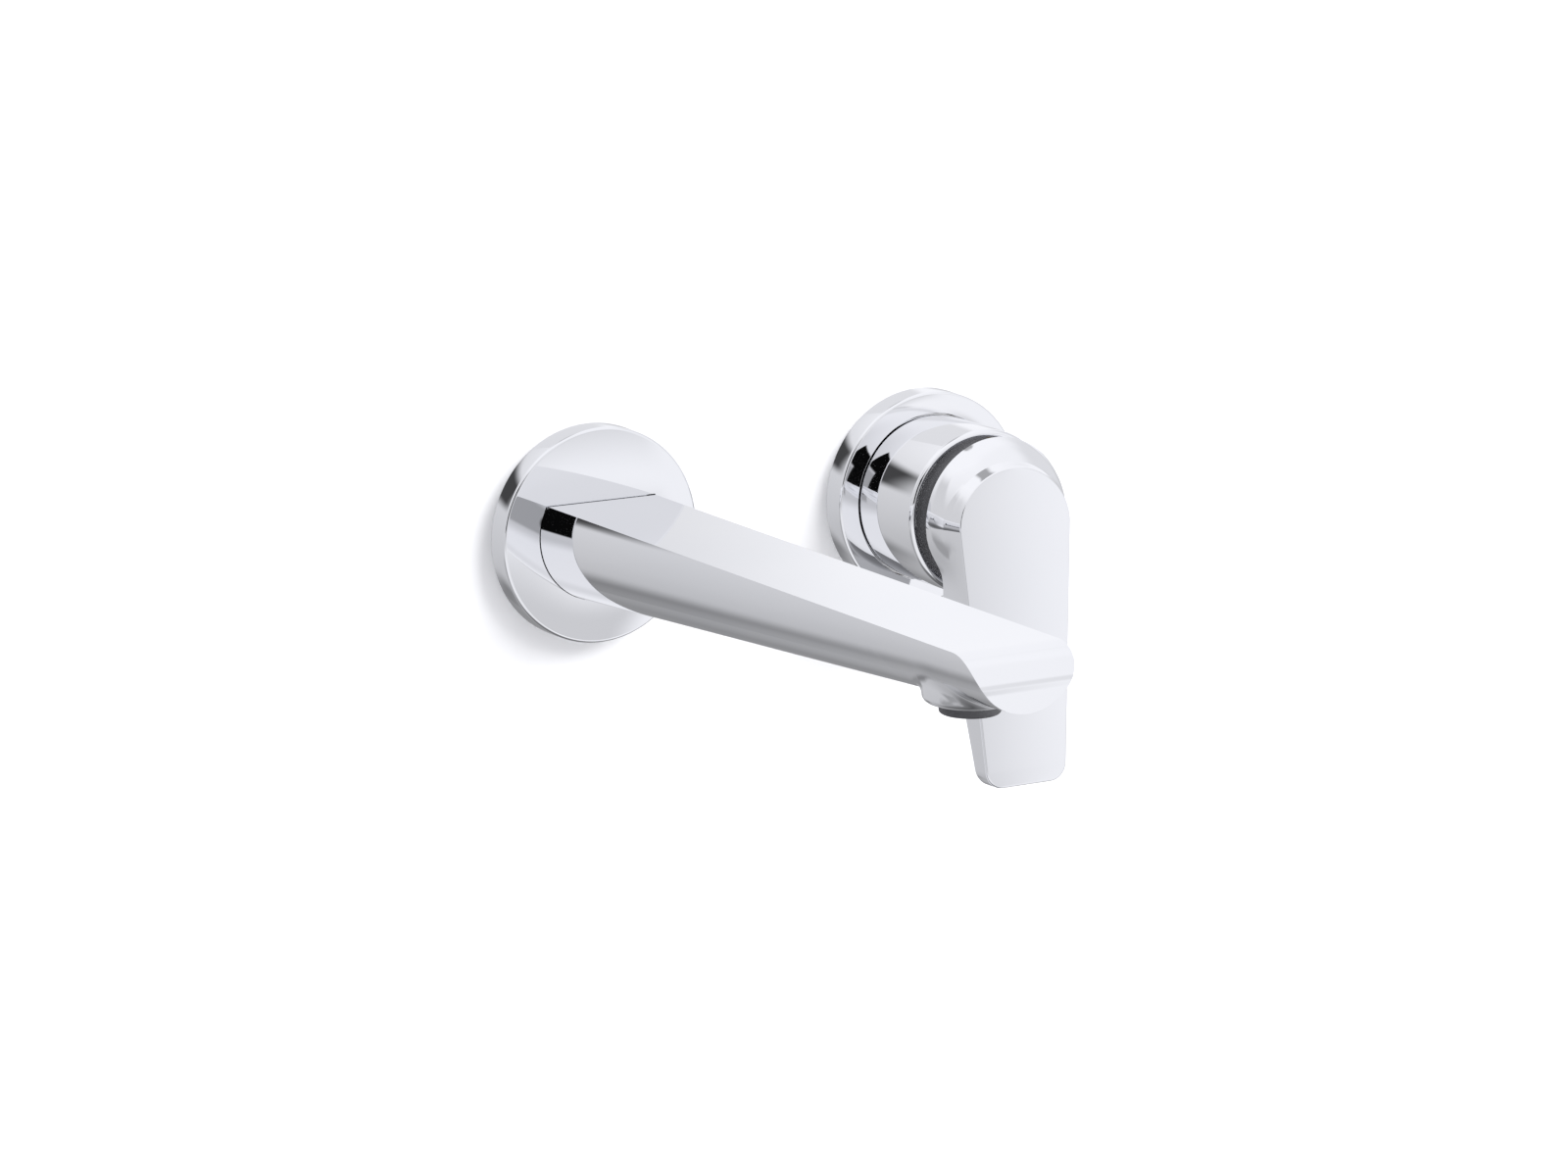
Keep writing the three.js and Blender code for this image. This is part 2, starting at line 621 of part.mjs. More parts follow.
function bracketScrew(x, z, tip) {
  const back = BRACKET.front + BRACKET.thickness + GAP;
  const shank = rod(SCREW.radius, tip, back + 0.5, SMALL, 'y', x, 0, z);
  const head = rod(SCREW.head, back, back + SCREW.headHeight, SMALL, 'y', x, 0, z);
  const recess = rod(SCREW.recess, back + 1, back + 4, 6, 'y', x, 0, z);
  return shank.add(head).subtract(recess);
}

// ---------------------------------------------------------------- assembly
const faucet = new THREE.Group();
const spoutGroup = new THREE.Group();
const handleGroup = new THREE.Group();
handleGroup.position.x = HANDLE_X;
faucet.add(spoutGroup, handleGroup);

function addPiece(group, name, body, look) {
  const mesh = new THREE.Mesh(geometryOf(body), new THREE.MeshStandardMaterial(look));
  mesh.name = name;
  group.add(mesh);
}

const sealFrom = -PLATE.depth + PLATE.face + GAP;
const sealTo = -0.2;
const sealOuter = PLATE.radius - PLATE.rim - GAP;

addPiece(spoutGroup, 'spout_body', spoutBody(), CHROME);
addPiece(spoutGroup, 'spout_plate', spoutPlate(), CHROME);
addPiece(spoutGroup, 'spout_plate_seal', ring(sealOuter, 23, sealFrom, sealTo, MEDIUM), FOAM);
addPiece(spoutGroup, 'spout_nipple', spoutNipple(), BRASS);
for (const [end, y] of Object.entries(O_RINGS)) {
  const oRing = roundRing(O_RING.radius, O_RING.section, y, MEDIUM, NIPPLE.z);
  addPiece(spoutGroup, `spout_o_ring_${end}`, oRing, RUBBER);
}
addPiece(spoutGroup, 'spout_set_screw',
  grubScrew(SPOUT_SCREW.radius, SPOUT_SCREW.from, SPOUT_SCREW.to, 'z', SPOUT_SCREW.y), STEEL);

const aerator = new THREE.Group();
aerator.position.y = -OUTLET.reach;
spoutGroup.add(aerator);
const insertRadius = AERATOR.bore - GAP;
addPiece(aerator, 'aerator_housing',
  ring(AERATOR.radius, AERATOR.bore, AERATOR.bottom, AERATOR.top, MEDIUM, 'z'), DARK_PLASTIC);
addPiece(aerator, 'aerator_insert', ring(insertRadius, 1, AERATOR.bottom + 0.8, -6, MEDIUM, 'z'),
  GREY_PLASTIC);
addPiece(aerator, 'aerator_screen', rod(insertRadius, -5.6, -5, MEDIUM, 'z'), STEEL);
addPiece(aerator, 'aerator_washer',
  ring(AERATOR.radius - 0.2, AERATOR.bore, AERATOR.top + GAP, -3, MEDIUM, 'z'), RUBBER);

addPiece(handleGroup, 'handle_plate', wallPlate(SLEEVE.radius + GAP, 0), CHROME);
addPiece(handleGroup, 'handle_plate_seal', ring(sealOuter, 28.6, sealFrom, sealTo, ROUND), FOAM);
addPiece(handleGroup, 'handle_sleeve',
  ring(SLEEVE.radius, SLEEVE.bore, SLEEVE.front, -0.5, ROUND), CHROME);
addPiece(handleGroup, 'sleeve_o_ring', roundRing(27.2, 0.85, sealFrom + 1.1, ROUND), RUBBER);
addPiece(handleGroup, 'sleeve_retainer',
  ring(SLEEVE.bore - GAP, VALVE.neckRadius + GAP, -12, -3, ROUND), BRASS);
addPiece(handleGroup, 'cartridge_cover', cartridgeCover(), DARK_PLASTIC);
addPiece(handleGroup, 'cartridge_nut', cartridgeNut(), BRASS);
addPiece(handleGroup, 'cartridge_housing', cartridgeHousing(), WHITE_PLASTIC);
addPiece(handleGroup, 'cartridge_base', cartridgeBase(), GREY_PLASTIC);
addPiece(handleGroup, 'fixed_disc', withPorts(rod(12.3, -1.4, 2.4, MEDIUM), PORT_RADIUS, -3, 4),
  CERAMIC);
for (const port of PORTS) {
  const seal = ring(4.6, PORT_RADIUS + GAP, 8.5, 9.7, SMALL, 'y', port.x, 0, port.z);
  addPiece(handleGroup, `${port.name}_port_seal`, seal, RUBBER);
}

addPiece(handleGroup, 'moving_disc', movingDisc(), CERAMIC);
addPiece(handleGroup, 'disc_carrier', discCarrier(), WHITE_PLASTIC);
addPiece(handleGroup, 'lever_guide', leverGuide(), WHITE_PLASTIC);
addPiece(handleGroup, 'pivot_pin',
  rod(PIN.radius, -PIN.halfLength, PIN.halfLength, SMALL, 'x', 0, PIVOT_Y, 0), STEEL);
addPiece(handleGroup, 'cartridge_stem', cartridgeStem(), STEEL);
addPiece(handleGroup, 'handle_lever', handleLever(), CHROME);
addPiece(handleGroup, 'handle_bush', handleBush(), GREY_PLASTIC);
addPiece(handleGroup, 'handle_set_screw',
  grubScrew(HANDLE_SCREW.radius, STEM.halfSize + GAP, HANDLE_SCREW.outer, 'x', HANDLE_SCREW.y), STEEL);
const plug = rod(HANDLE_SCREW.radius, HANDLE_SCREW.plugFrom, HANDLE_SCREW.plugTo, SMALL, 'x', 0,
  HANDLE_SCREW.y, 0);
addPiece(handleGroup, 'set_screw_plug', plug, GREY_PLASTIC);

addPiece(handleGroup, 'valve_body', valveBody(), BRASS);
addPiece(spoutGroup, 'spout_elbow', spoutElbow(), BRASS);
addPiece(spoutGroup, 'crossover_tube', crossoverTube(), COPPER);
addPiece(spoutGroup, 'crossover_nut_left', tubeNut(ELBOW.sideReach + GAP), BRASS);
addPiece(spoutGroup, 'crossover_nut_right', tubeNut(HANDLE_X - 48), BRASS);
addPiece(spoutGroup, 'mounting_bracket', bracket(), STEEL);
ELBOW_SCREW_X.forEach((x, i) => {
  addPiece(spoutGroup, `elbow_screw_${i + 1}`, bracketScrew(x, NIPPLE.z, ELBOW_SCREW_TIP), STEEL);
});
VALVE_SCREW_Z.forEach((z, i) => {
  addPiece(spoutGroup, `valve_screw_${i + 1}`, bracketScrew(HANDLE_X, z, VALVE_SCREW_TIP), STEEL);
});

export default faucet;
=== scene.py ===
"""Wall mounted bath faucet: the looks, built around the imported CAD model.

Shape dimensions are millimetres in the CAD frame: +X right, +Y into the wall, +Z up, origin on the
finished wall at the centre of the spout. mm() turns them into the metres that Blender uses.
"""
import json
import math

import bmesh
import bpy
from mathutils import Matrix, Vector

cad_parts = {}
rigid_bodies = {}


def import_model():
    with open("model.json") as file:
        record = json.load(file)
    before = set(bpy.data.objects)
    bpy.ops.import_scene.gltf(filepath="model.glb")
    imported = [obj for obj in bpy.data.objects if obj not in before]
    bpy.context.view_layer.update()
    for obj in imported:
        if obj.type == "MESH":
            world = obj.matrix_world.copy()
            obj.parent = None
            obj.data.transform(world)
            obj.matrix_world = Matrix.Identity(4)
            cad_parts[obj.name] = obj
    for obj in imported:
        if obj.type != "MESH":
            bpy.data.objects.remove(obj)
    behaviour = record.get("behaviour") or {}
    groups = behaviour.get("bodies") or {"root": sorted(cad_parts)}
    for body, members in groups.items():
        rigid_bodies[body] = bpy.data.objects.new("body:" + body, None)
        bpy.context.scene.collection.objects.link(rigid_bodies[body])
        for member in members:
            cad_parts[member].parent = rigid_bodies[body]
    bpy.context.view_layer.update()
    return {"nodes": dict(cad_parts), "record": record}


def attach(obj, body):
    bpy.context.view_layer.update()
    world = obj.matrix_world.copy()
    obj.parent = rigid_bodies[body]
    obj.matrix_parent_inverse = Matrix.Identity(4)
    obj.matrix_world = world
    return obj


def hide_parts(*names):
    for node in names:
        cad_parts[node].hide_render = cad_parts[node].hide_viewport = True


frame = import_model()

# ------------------------------------------------------------------ driving dimensions
MM = 0.001
HANDLE_X = 117.0
GAP = 0.3

SPOUT_REACH = 243.4
SPOUT_TOP = 10.8
SPOUT_ROOT_HALF = 18.45
SPOUT_TIP_HALF = 16.75
SPOUT_ROOT_BOTTOM = 20.4
SPOUT_OUTLET_BOTTOM = 6.8
SPOUT_TIP_BOTTOM = 5.7
SPOUT_START = 1.0
SPOUT_SCREW_Y = -18.0
NOSE_RADIUS = 11.0
NOSE_Y = -SPOUT_REACH + NOSE_RADIUS
NOSE_Z = SPOUT_TOP - NOSE_RADIUS
EDGE_RADIUS = 0.6
PATCH_START = 188.0

OUTLET_Y = -215.0
BOSS_RADIUS = 13.2
BOSS_BOTTOM = -8.2
BOSS_CORNER = 2.6
BOSS_FILLET = 7.5
CHAMBER_RADIUS = 8.8
CHAMBER_ROOF = 1.0
AERATOR_RADIUS = 8.5
AERATOR_BOTTOM = -11.2
AERATOR_TOP = -4.5
AERATOR_BORE = 6.8

NIPPLE_Z = -4.5
NIPPLE_RADIUS = 9.2
NIPPLE_BORE = 6.2
O_RING_YS = (("front", -27), ("rear", -21))

PLATE_RADIUS = 33.2
PLATE_DEPTH = 8.0
PLATE_FACE = 4.5
PLATE_RIM = 2.8

SLEEVE_RADIUS = 26.0
SLEEVE_BORE = 23.6
SLEEVE_FRONT = -38.0

CAP_RADIUS = 25.0
CAP_BACK = -45.2
FACE_Y = -56.7
FACE_LEAN = 0.1008
FACE_HALF = 20.05
FACE_TOP = 17.2
OVAL_HEIGHT = 18.1
BLADE_TAPER = 0.0758
BLADE_BOTTOM = -80.2
BLADE_CORNER = 5.5
PIVOT_Y = -30.0
SCREW_Y = -47.6

SET_SCREW_RADIUS = 2.4
PIN_HOLE = 1.5
STEM_HALF = 3.7
BALL_Y = -12.0
BALL_RADIUS = 3.0

PORTS = (("hot", -6, -3.5), ("cold", 6, -3.5), ("outlet", 0, 6.5))
PORT_RADIUS = 3.0
PORT_Z = -3.5
DISC_REST_Z = 2.1
CROSS_Y = 22.0
CROSS_Z = 8.5
TUBE_HOLE = 8.3
GALLERY_RADIUS = 4.5
VALVE_BACK = 36.2
INLET_X = 17.0
INLET_BOTTOM = -50.0
BRACKET_FRONT = 36.5
BRACKET_BACK = 39.0
ELBOW_SCREW_XS = (-12.5, 12.5)
VALVE_SCREW_ZS = (-17, 17.5)
SCREW_HOLE = 2.3

HANDLE_AXIS = (HANDLE_X, 0, 0)
SCREW_AXIS = (HANDLE_X, SCREW_Y, 0)
PIVOT_AXIS = (HANDLE_X, PIVOT_Y, 0)
NIPPLE_AXIS = (0, 0, NIPPLE_Z)
OUTLET_AXIS = (0, OUTLET_Y, 0)


def mm(x, y, z):
    return Vector((x * MM, y * MM, z * MM))


def mix(a, b, t):
    return a + (b - a) * t


def clamp01(t):
    return min(1.0, max(0.0, t))


def smooth(t):
    t = clamp01(t)
    return t * t * (3 - 2 * t)


def add_object(name, data):
    obj = bpy.data.objects.new(name, data)
    bpy.context.scene.collection.objects.link(obj)
    return obj


def look_at(obj, location, target):
    obj.location = location
    obj.rotation_mode = "QUATERNION"
    obj.rotation_quaternion = (Vector(target) - Vector(location)).to_track_quat("-Z", "Y")


# ------------------------------------------------------------------ camera
def add_camera():
    azimuth, elevation = math.radians(-30.51), math.radians(12.41)
    distance = 1.5965
    target = Vector((0.03321, -0.060, -0.01002))
    back = Vector((
        math.sin(azimuth) * math.cos(elevation),
        -math.cos(azimuth) * math.cos(elevation),
        math.sin(elevation),
    ))
    data = bpy.data.cameras.new("camera")
    data.sensor_width = 36
    data.lens = 123.6
    camera = add_object("camera", data)
    look_at(camera, target + back * distance, target)
    bpy.context.scene.camera = camera


add_camera()


# ------------------------------------------------------------------ mesh helpers
def make_object(name, vertices, faces, sharp=32, weld=1e-6):
    """A smooth shaded object from points in millimetres, with edges sharper than `sharp` kept crisp."""
    mesh = bpy.data.meshes.new(name)
    mesh.from_pydata([mm(*v) for v in vertices], [], faces)
    bm = bmesh.new()
    bm.from_mesh(mesh)
    bmesh.ops.remove_doubles(bm, verts=bm.verts, dist=weld)
    bmesh.ops.recalc_face_normals(bm, faces=bm.faces)
    bm.to_mesh(mesh)
    bm.free()
    return shade(add_object(name, mesh), sharp)


def shade(obj, sharp=32):
    obj.data.shade_smooth()
    obj.data.set_sharp_from_angle(angle=math.radians(sharp))
    return obj


def loft_faces(ring_count, ring_size, closed=True):
    """Quads between neighbouring rings, where ring r starts at vertex r * ring_size."""
    faces = []
    last = ring_size if closed else ring_size - 1
    for ring in range(ring_count - 1):
        low = ring * ring_size
        high = low + ring_size
        for i in range(last):
            j = (i + 1) % ring_size
            faces.append((low + i, low + j, high + j, high + i))
    return faces


def loft(name, rings, cap_start=True, cap_end=True, sharp=32):
    """A closed skin through rings of equal length, with flat ends."""
    size = len(rings[0])
    faces = loft_faces(len(rings), size)
    if cap_start:
        faces.append(tuple(reversed(range(size))))
    if cap_end:
        first = (len(rings) - 1) * size
        faces.append(tuple(range(first, first + size)))
    return make_object(name, [p for ring in rings for p in ring], faces, sharp)


def rounded(points, steps=6):
    """A closed profile with its corners rounded: each point is (radius, along, corner radius)."""
    out = []
    count = len(points)
    for i, (r, a, corner) in enumerate(points):
        here = Vector((r, a))
        before = Vector(points[i - 1][:2]) - here
        after = Vector(points[(i + 1) % count][:2]) - here
        if corner <= 0:
            out.append((r, a))
            continue
        before.normalize()
        after.normalize()
        half = before.angle(after) / 2
        reach = corner / math.tan(half)
        centre = here + (before + after).normalized() * (corner / math.sin(half))
        start = here + before * reach - centre
        sweep = start.angle_signed(here + after * reach - centre)
        for k in range(steps + 1):
            turn = Matrix.Rotation(-sweep * k / steps, 2)
            out.append(tuple(centre + turn @ start))
    return out


def axis_point(axis, radius, along, angle, centre):
    """A point of a turned piece: `along` runs down the axis, and angle 0 is up, or +X about Z."""
    c, s = radius * math.cos(angle), radius * math.sin(angle)
    x, y, z = centre
    if axis == "y":
        return (x + s, y + along, z + c)
    if axis == "x":
        return (x + along, y + s, z + c)
    return (x + c, y + s, z + along)


def turned(name, profile, axis="y", centre=(0, 0, 0), sides=96, sharp=32, steps=5):
    """A ring turned from a closed, rounded profile of (radius, along, corner radius)."""
    outline = rounded(profile, steps)
    rings = []
    for radius, along in outline + outline[:1]:
        rings.append([
            axis_point(axis, max(radius, 0.0), along, 2 * math.pi * i / sides, centre)
            for i in range(sides)
        ])
    return make_object(name, [p for ring in rings for p in ring], loft_faces(len(rings), sides), sharp)


def disc(name, profile, axis="y", centre=(0, 0, 0), sides=96, sharp=32, steps=5):
    """A solid turned piece: the profile starts and ends on the axis, so its poles are closed."""
    outline = rounded(profile, steps)
    vertices = []
    rings = []
    for radius, along in outline:
        start = len(vertices)
        if radius < 1e-6:
            vertices.append(axis_point(axis, 0, along, 0, centre))
            rings.append([start] * sides)
            continue
        for i in range(sides):
            vertices.append(axis_point(axis, radius, along, 2 * math.pi * i / sides, centre))
        rings.append(list(range(start, start + sides)))
    faces = []
    for low, high in zip(rings, rings[1:]):
        for i in range(sides):
            j = (i + 1) % sides
            corners = dict.fromkeys((low[i], low[j], high[j], high[i]))
            if len(corners) > 2:
                faces.append(tuple(corners))
    return make_object(name, vertices, faces, sharp)


def rod(name, radius, start, end, axis="y", centre=(0, 0, 0), sides=64, corner=0.0):
    profile = [(0, start, 0), (radius, start, corner), (radius, end, corner), (0, end, 0)]
    return disc(name, profile, axis, centre, sides)


def prism(name, sides, radius, start, end, axis="y", centre=(0, 0, 0), phase=0.0):
    """A bar of regular section; radius reaches its corners."""
    turns = [phase + 2 * math.pi * i / sides for i in range(sides)]
    ends = [[axis_point(axis, radius, along, turn, centre) for turn in turns] for along in (start, end)]
    return loft(name, ends)


def threads(radius, start, end, pitch=1.25, depth=0.55):
    """Profile points of screw threads, as a row of V grooves below the outer radius."""
    count = max(1, round(abs(end - start) / pitch))
    points = []
    for i in range(count):
        points.append((radius - depth, mix(start, end, i / count), 0))
        points.append((radius, mix(start, end, (i + 0.4) / count), 0))
        points.append((radius, mix(start, end, (i + 0.6) / count), 0))
    points.append((radius - depth, end, 0))
    return points


def block(name, low, high):
    (x0, y0, z0), (x1, y1, z1) = low, high
    base = [(x0, y0), (x1, y0), (x1, y1), (x0, y1)]
    return loft(name, [[(x, y, z0) for x, y in base], [(x, y, z1) for x, y in base]])


def combine(obj, others, operation, sharp=32):
    """A boolean of obj with each of the others, which are used up."""
    for other in others:
        modifier = obj.modifiers.new("cut", "BOOLEAN")
        modifier.operation = operation
        modifier.solver = "MANIFOLD"
        modifier.object = other
        apply_modifiers(obj)
        bpy.data.objects.remove(other)
    tidy_mesh(obj)
    return shade(obj, sharp)


def tidy_mesh(obj):
    """Closes the hairline seams that a boolean can leave, and drops faces without area."""
    bm = bmesh.new()
    bm.from_mesh(obj.data)
    bmesh.ops.remove_doubles(bm, verts=bm.verts, dist=0.003 * MM)
    bmesh.ops.dissolve_degenerate(bm, edges=bm.edges, dist=0.001 * MM)
    bm.to_mesh(obj.data)
    bm.free()


def cut(obj, *cutters, sharp=32):
    return combine(obj, cutters, "DIFFERENCE", sharp)


def join(obj, *others, sharp=32):
    return combine(obj, others, "UNION", sharp)


def apply_modifiers(obj):
    graph = bpy.context.evaluated_depsgraph_get()
    mesh = bpy.data.meshes.new_from_object(obj.evaluated_get(graph))
    obj.modifiers.clear()
    obj.data = mesh
    return obj


def soften(obj, width, segments=3, angle=40):
    """Rounds the sharp edges of a piece by a small bevel."""
    modifier = obj.modifiers.new("soften", "BEVEL")
    modifier.width = width * MM
    modifier.segments = segments
    modifier.limit_method = "ANGLE"
    modifier.angle_limit = math.radians(angle)
    modifier.harden_normals = False
    apply_modifiers(obj)
    return shade(obj, 50)


def cast(obj, voxel=0.8, rounds=6):
    """Turns a sharp solid into one with the soft edges and fillets of a casting."""
    remesh = obj.modifiers.new("remesh", "REMESH")
    remesh.mode = "VOXEL"
    remesh.voxel_size = voxel * MM
    melt = obj.modifiers.new("melt", "SMOOTH")
    melt.factor = 0.5
    melt.iterations = rounds
    apply_modifiers(obj)
    return shade(obj, 60)


def place(obj, body, slot, *nodes):
    """The piece rides on a body, takes a finish and stands for its CAD nodes."""
    obj.data.materials.clear()
    obj.data.materials.append(MATERIALS[slot])
    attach(obj, body)
    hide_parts(*nodes)
    return obj


# ------------------------------------------------------------------ materials
class Nodes:
    """Short names for building a node tree."""

    def __init__(self, tree):
        self.tree = tree

    def feed(self, socket, value):
        """Links another node's output to a socket, or sets the socket to a constant."""
        if isinstance(value, bpy.types.NodeSocket):
            self.tree.links.new(value, socket)
        else:
            socket.default_value = value

    def node(self, kind, links=(), **settings):
        node = self.tree.nodes.new(kind)
        for key, value in settings.items():
            setattr(node, key, value)
        for socket, value in dict(links).items():
            self.feed(node.inputs[socket], value)
        return node


class Finish(Nodes):
    """A material's node tree, in the object's own coordinates."""

    def __init__(self, name):
        self.material = bpy.data.materials.new(name)
        self.material.use_nodes = True
        super().__init__(self.material.node_tree)
        self.coords = self.node("ShaderNodeTexCoord").outputs["Object"]

    def noise(self, scale, detail=4.0, roughness=0.55, stretch=None):
        vector = self.coords
        if stretch:
            vector = self.node("ShaderNodeMapping", {"Vector": vector, "Scale": stretch}).outputs[0]
        links = {"Vector": vector, "Scale": scale, "Detail": detail, "Roughness": roughness}
        return self.node("ShaderNodeTexNoise", links).outputs["Fac"]

    def cells(self, scale, output):
        links = {"Vector": self.coords, "Scale": scale}
        return self.node("ShaderNodeTexVoronoi", links).outputs[output]

    def ramp(self, value, low, high, start=0.3, end=0.7):
        links = {"Value": value, "From Min": start, "From Max": end, "To Min": low, "To Max": high}
        return self.node("ShaderNodeMapRange", links).outputs["Result"]

    def tint(self, value, first, second, start=0.3, end=0.7):
        node = self.node("ShaderNodeValToRGB", {"Fac": value})
        stops = ((start, first), (end, second))
        for element, (position, colour) in zip(node.color_ramp.elements, stops):
            element.position = position
            element.color = (*colour, 1)
        return node.outputs["Color"]

    def bump(self, height, distance, strength=1.0, below=None):
        links = {"Height": height, "Distance": distance, "Strength": strength}
        if below:
            links["Normal"] = below
        return self.node("ShaderNodeBump", links).outputs["Normal"]

    def finish(self, colour, rough, normal, metallic=0.0):
        shader = self.tree.nodes["Principled BSDF"]
        self.feed(shader.inputs["Base Color"], colour)
        self.feed(shader.inputs["Metallic"], metallic)
        self.feed(shader.inputs["Roughness"], rough)
        self.feed(shader.inputs["Normal"], normal)
        return self.material


def polished_chrome():
    """Mirror plating: a cool tint, faint wiping haze and the long waves of a buffed casting."""
    f = Finish("polished_chrome")
    colour = f.tint(f.noise(14, 2), (0.875, 0.882, 0.905), (0.905, 0.908, 0.925))
    haze = f.ramp(f.noise(38, 6, 0.6), 0.012, 0.045)
    scuffs = f.ramp(f.noise(900, 3, 0.6, stretch=(1, 0.06, 1)), 0, 0.012, 0.55, 0.8)
    rough = f.node("ShaderNodeMath", {0: haze, 1: scuffs}, operation="ADD").outputs[0]
    return f.finish(colour, rough, f.bump(f.noise(30, 1), 0.000004, 0.35), metallic=1.0)


def turned_brass():
    """Machined brass: fine tool rings, a little tarnish."""
    f = Finish("turned_brass")
    tarnish = f.noise(60, 5, 0.6)
    colour = f.tint(tarnish, (0.62, 0.44, 0.19), (0.80, 0.62, 0.33))
    rings = f.noise(700, 2, 0.5, stretch=(0.02, 1, 0.02))
    return f.finish(colour, f.ramp(tarnish, 0.36, 0.22), f.bump(rings, 0.00002, 0.4), metallic=1.0)


def cast_brass():
    """Sand cast brass: grain, blotchy oxide and brighter high spots."""
    f = Finish("cast_brass")
    blotch = f.noise(45, 6, 0.65)
    colour = f.tint(blotch, (0.47, 0.33, 0.15), (0.70, 0.53, 0.27), 0.35, 0.65)
    grain = f.bump(f.noise(1500, 3, 0.6), 0.00006, 0.6)
    pits = f.bump(f.cells(900, "Distance"), 0.00003, 0.4, grain)
    return f.finish(colour, f.ramp(blotch, 0.52, 0.38), pits, metallic=1.0)


def copper_tube():
    """Drawn copper: long scratches along the tube and darker oxide patches."""
    f = Finish("copper_tube")
    oxide = f.noise(55, 5, 0.6)
    colour = f.tint(oxide, (0.50, 0.22, 0.12), (0.80, 0.44, 0.29), 0.35, 0.65)
    lines = f.noise(900, 2, 0.5, stretch=(0.03, 1, 1))
    return f.finish(colour, f.ramp(oxide, 0.42, 0.26), f.bump(lines, 0.00002, 0.4), metallic=1.0)


def zinc_steel():
    """Zinc plated sheet: small spangles and rolled grain."""
    f = Finish("zinc_steel")
    spangle = f.node("ShaderNodeSeparateColor", {"Color": f.cells(320, "Color")}).outputs["Red"]
    colour = f.tint(spangle, (0.56, 0.57, 0.59), (0.70, 0.71, 0.72), 0.0, 1.0)
    grain = f.noise(1200, 2, 0.5, stretch=(0.04, 1, 1))
    rough = f.ramp(spangle, 0.30, 0.44, 0.0, 1.0)
    return f.finish(colour, rough, f.bump(grain, 0.00001, 0.5), metallic=1.0)


def stainless_steel():
    """Bright stainless: drawn lines and light tarnish."""
    f = Finish("stainless_steel")
    haze = f.noise(120, 4, 0.6)
    colour = f.tint(haze, (0.53, 0.54, 0.55), (0.66, 0.665, 0.67))
    lines = f.noise(1600, 2, 0.5, stretch=(1, 0.05, 1))
    return f.finish(colour, f.ramp(haze, 0.20, 0.34), f.bump(lines, 0.00001, 0.5), metallic=1.0)


def black_rubber():
    """Moulded rubber: dusty bloom over a fine matte skin."""
    f = Finish("black_rubber")
    bloom = f.noise(160, 5, 0.6)
    colour = f.tint(bloom, (0.018, 0.018, 0.019), (0.042, 0.042, 0.044))
    return f.finish(colour, f.ramp(bloom, 0.62, 0.82), f.bump(f.noise(2600, 2, 0.6), 0.00003, 0.5))


def foam_seal():
    """Closed cell foam: small rounded cells."""
    f = Finish("foam_seal")
    patches = f.noise(90, 4, 0.6)
    colour = f.tint(patches, (0.035, 0.035, 0.038), (0.075, 0.075, 0.08))
    cells = f.cells(1100, "Distance")
    return f.finish(colour, f.ramp(patches, 0.86, 0.97), f.bump(cells, 0.0003, 0.7))


def plastic(name, dark, light, rough_low, rough_high, texture):
    """Moulded plastic: slight colour drift, an eroded mould texture and handling shine."""
    f = Finish(name)
    drift = f.noise(70, 5, 0.6)
    grain = f.bump(f.noise(texture, 3, 0.6), 0.00001, 0.35)
    return f.finish(f.tint(drift, dark, light), f.ramp(drift, rough_low, rough_high), grain)


def dark_plastic():
    return plastic("dark_plastic", (0.050, 0.050, 0.054), (0.072, 0.072, 0.078), 0.50, 0.62, 1800)


def white_plastic():
    return plastic("white_plastic", (0.74, 0.74, 0.71), (0.82, 0.82, 0.79), 0.36, 0.5, 1400)


def grey_plastic():
    return plastic("grey_plastic", (0.16, 0.17, 0.185), (0.22, 0.23, 0.25), 0.4, 0.54, 1500)


def ceramic():
    """Ground alumina: faint speckle, lapped to a satin shine."""
    f = Finish("ceramic")
    speckle = f.noise(700, 4, 0.7)
    colour = f.tint(speckle, (0.80, 0.79, 0.75), (0.91, 0.90, 0.87), 0.4, 0.6)
    lapping = f.bump(f.noise(2200, 2, 0.5), 0.000008, 0.4)
    return f.finish(colour, f.ramp(speckle, 0.16, 0.30), lapping)


FINISHES = (
    polished_chrome, turned_brass, cast_brass, copper_tube, zinc_steel, stainless_steel,
    black_rubber, foam_seal, dark_plastic, white_plastic, grey_plastic, ceramic,
)
MATERIALS = {finish.__name__: finish() for finish in FINISHES}


# ------------------------------------------------------------------ spout
def spout_half(reach):
    return mix(SPOUT_ROOT_HALF, SPOUT_TIP_HALF, clamp01(reach / SPOUT_REACH))


def spout_bottom(reach):
    """Depth of the underside below the axis, with a soft change of slope at the outlet."""
    outlet = -OUTLET_Y
    before = mix(SPOUT_ROOT_BOTTOM, SPOUT_OUTLET_BOTTOM, reach / outlet)
    after = mix(SPOUT_OUTLET_BOTTOM, SPOUT_TIP_BOTTOM, (reach - outlet) / (SPOUT_REACH - outlet))
    return mix(before, after, smooth((reach - outlet + 6) / 12))


def spout_circle(reach):
    """Centre height and radius of the circle through the top corners and the bottom."""
    half, bottom = spout_half(reach), spout_bottom(reach)
    centre = (half ** 2 + SPOUT_TOP ** 2 - bottom ** 2) / (2 * (SPOUT_TOP + bottom))
    return centre, bottom + centre


def edge_angle(reach, z):
    """Angle from straight down to the section's edge at height z."""
    centre, radius = spout_circle(reach)
    return math.acos(max(-1.0, min(1.0, (centre - z) / radius)))


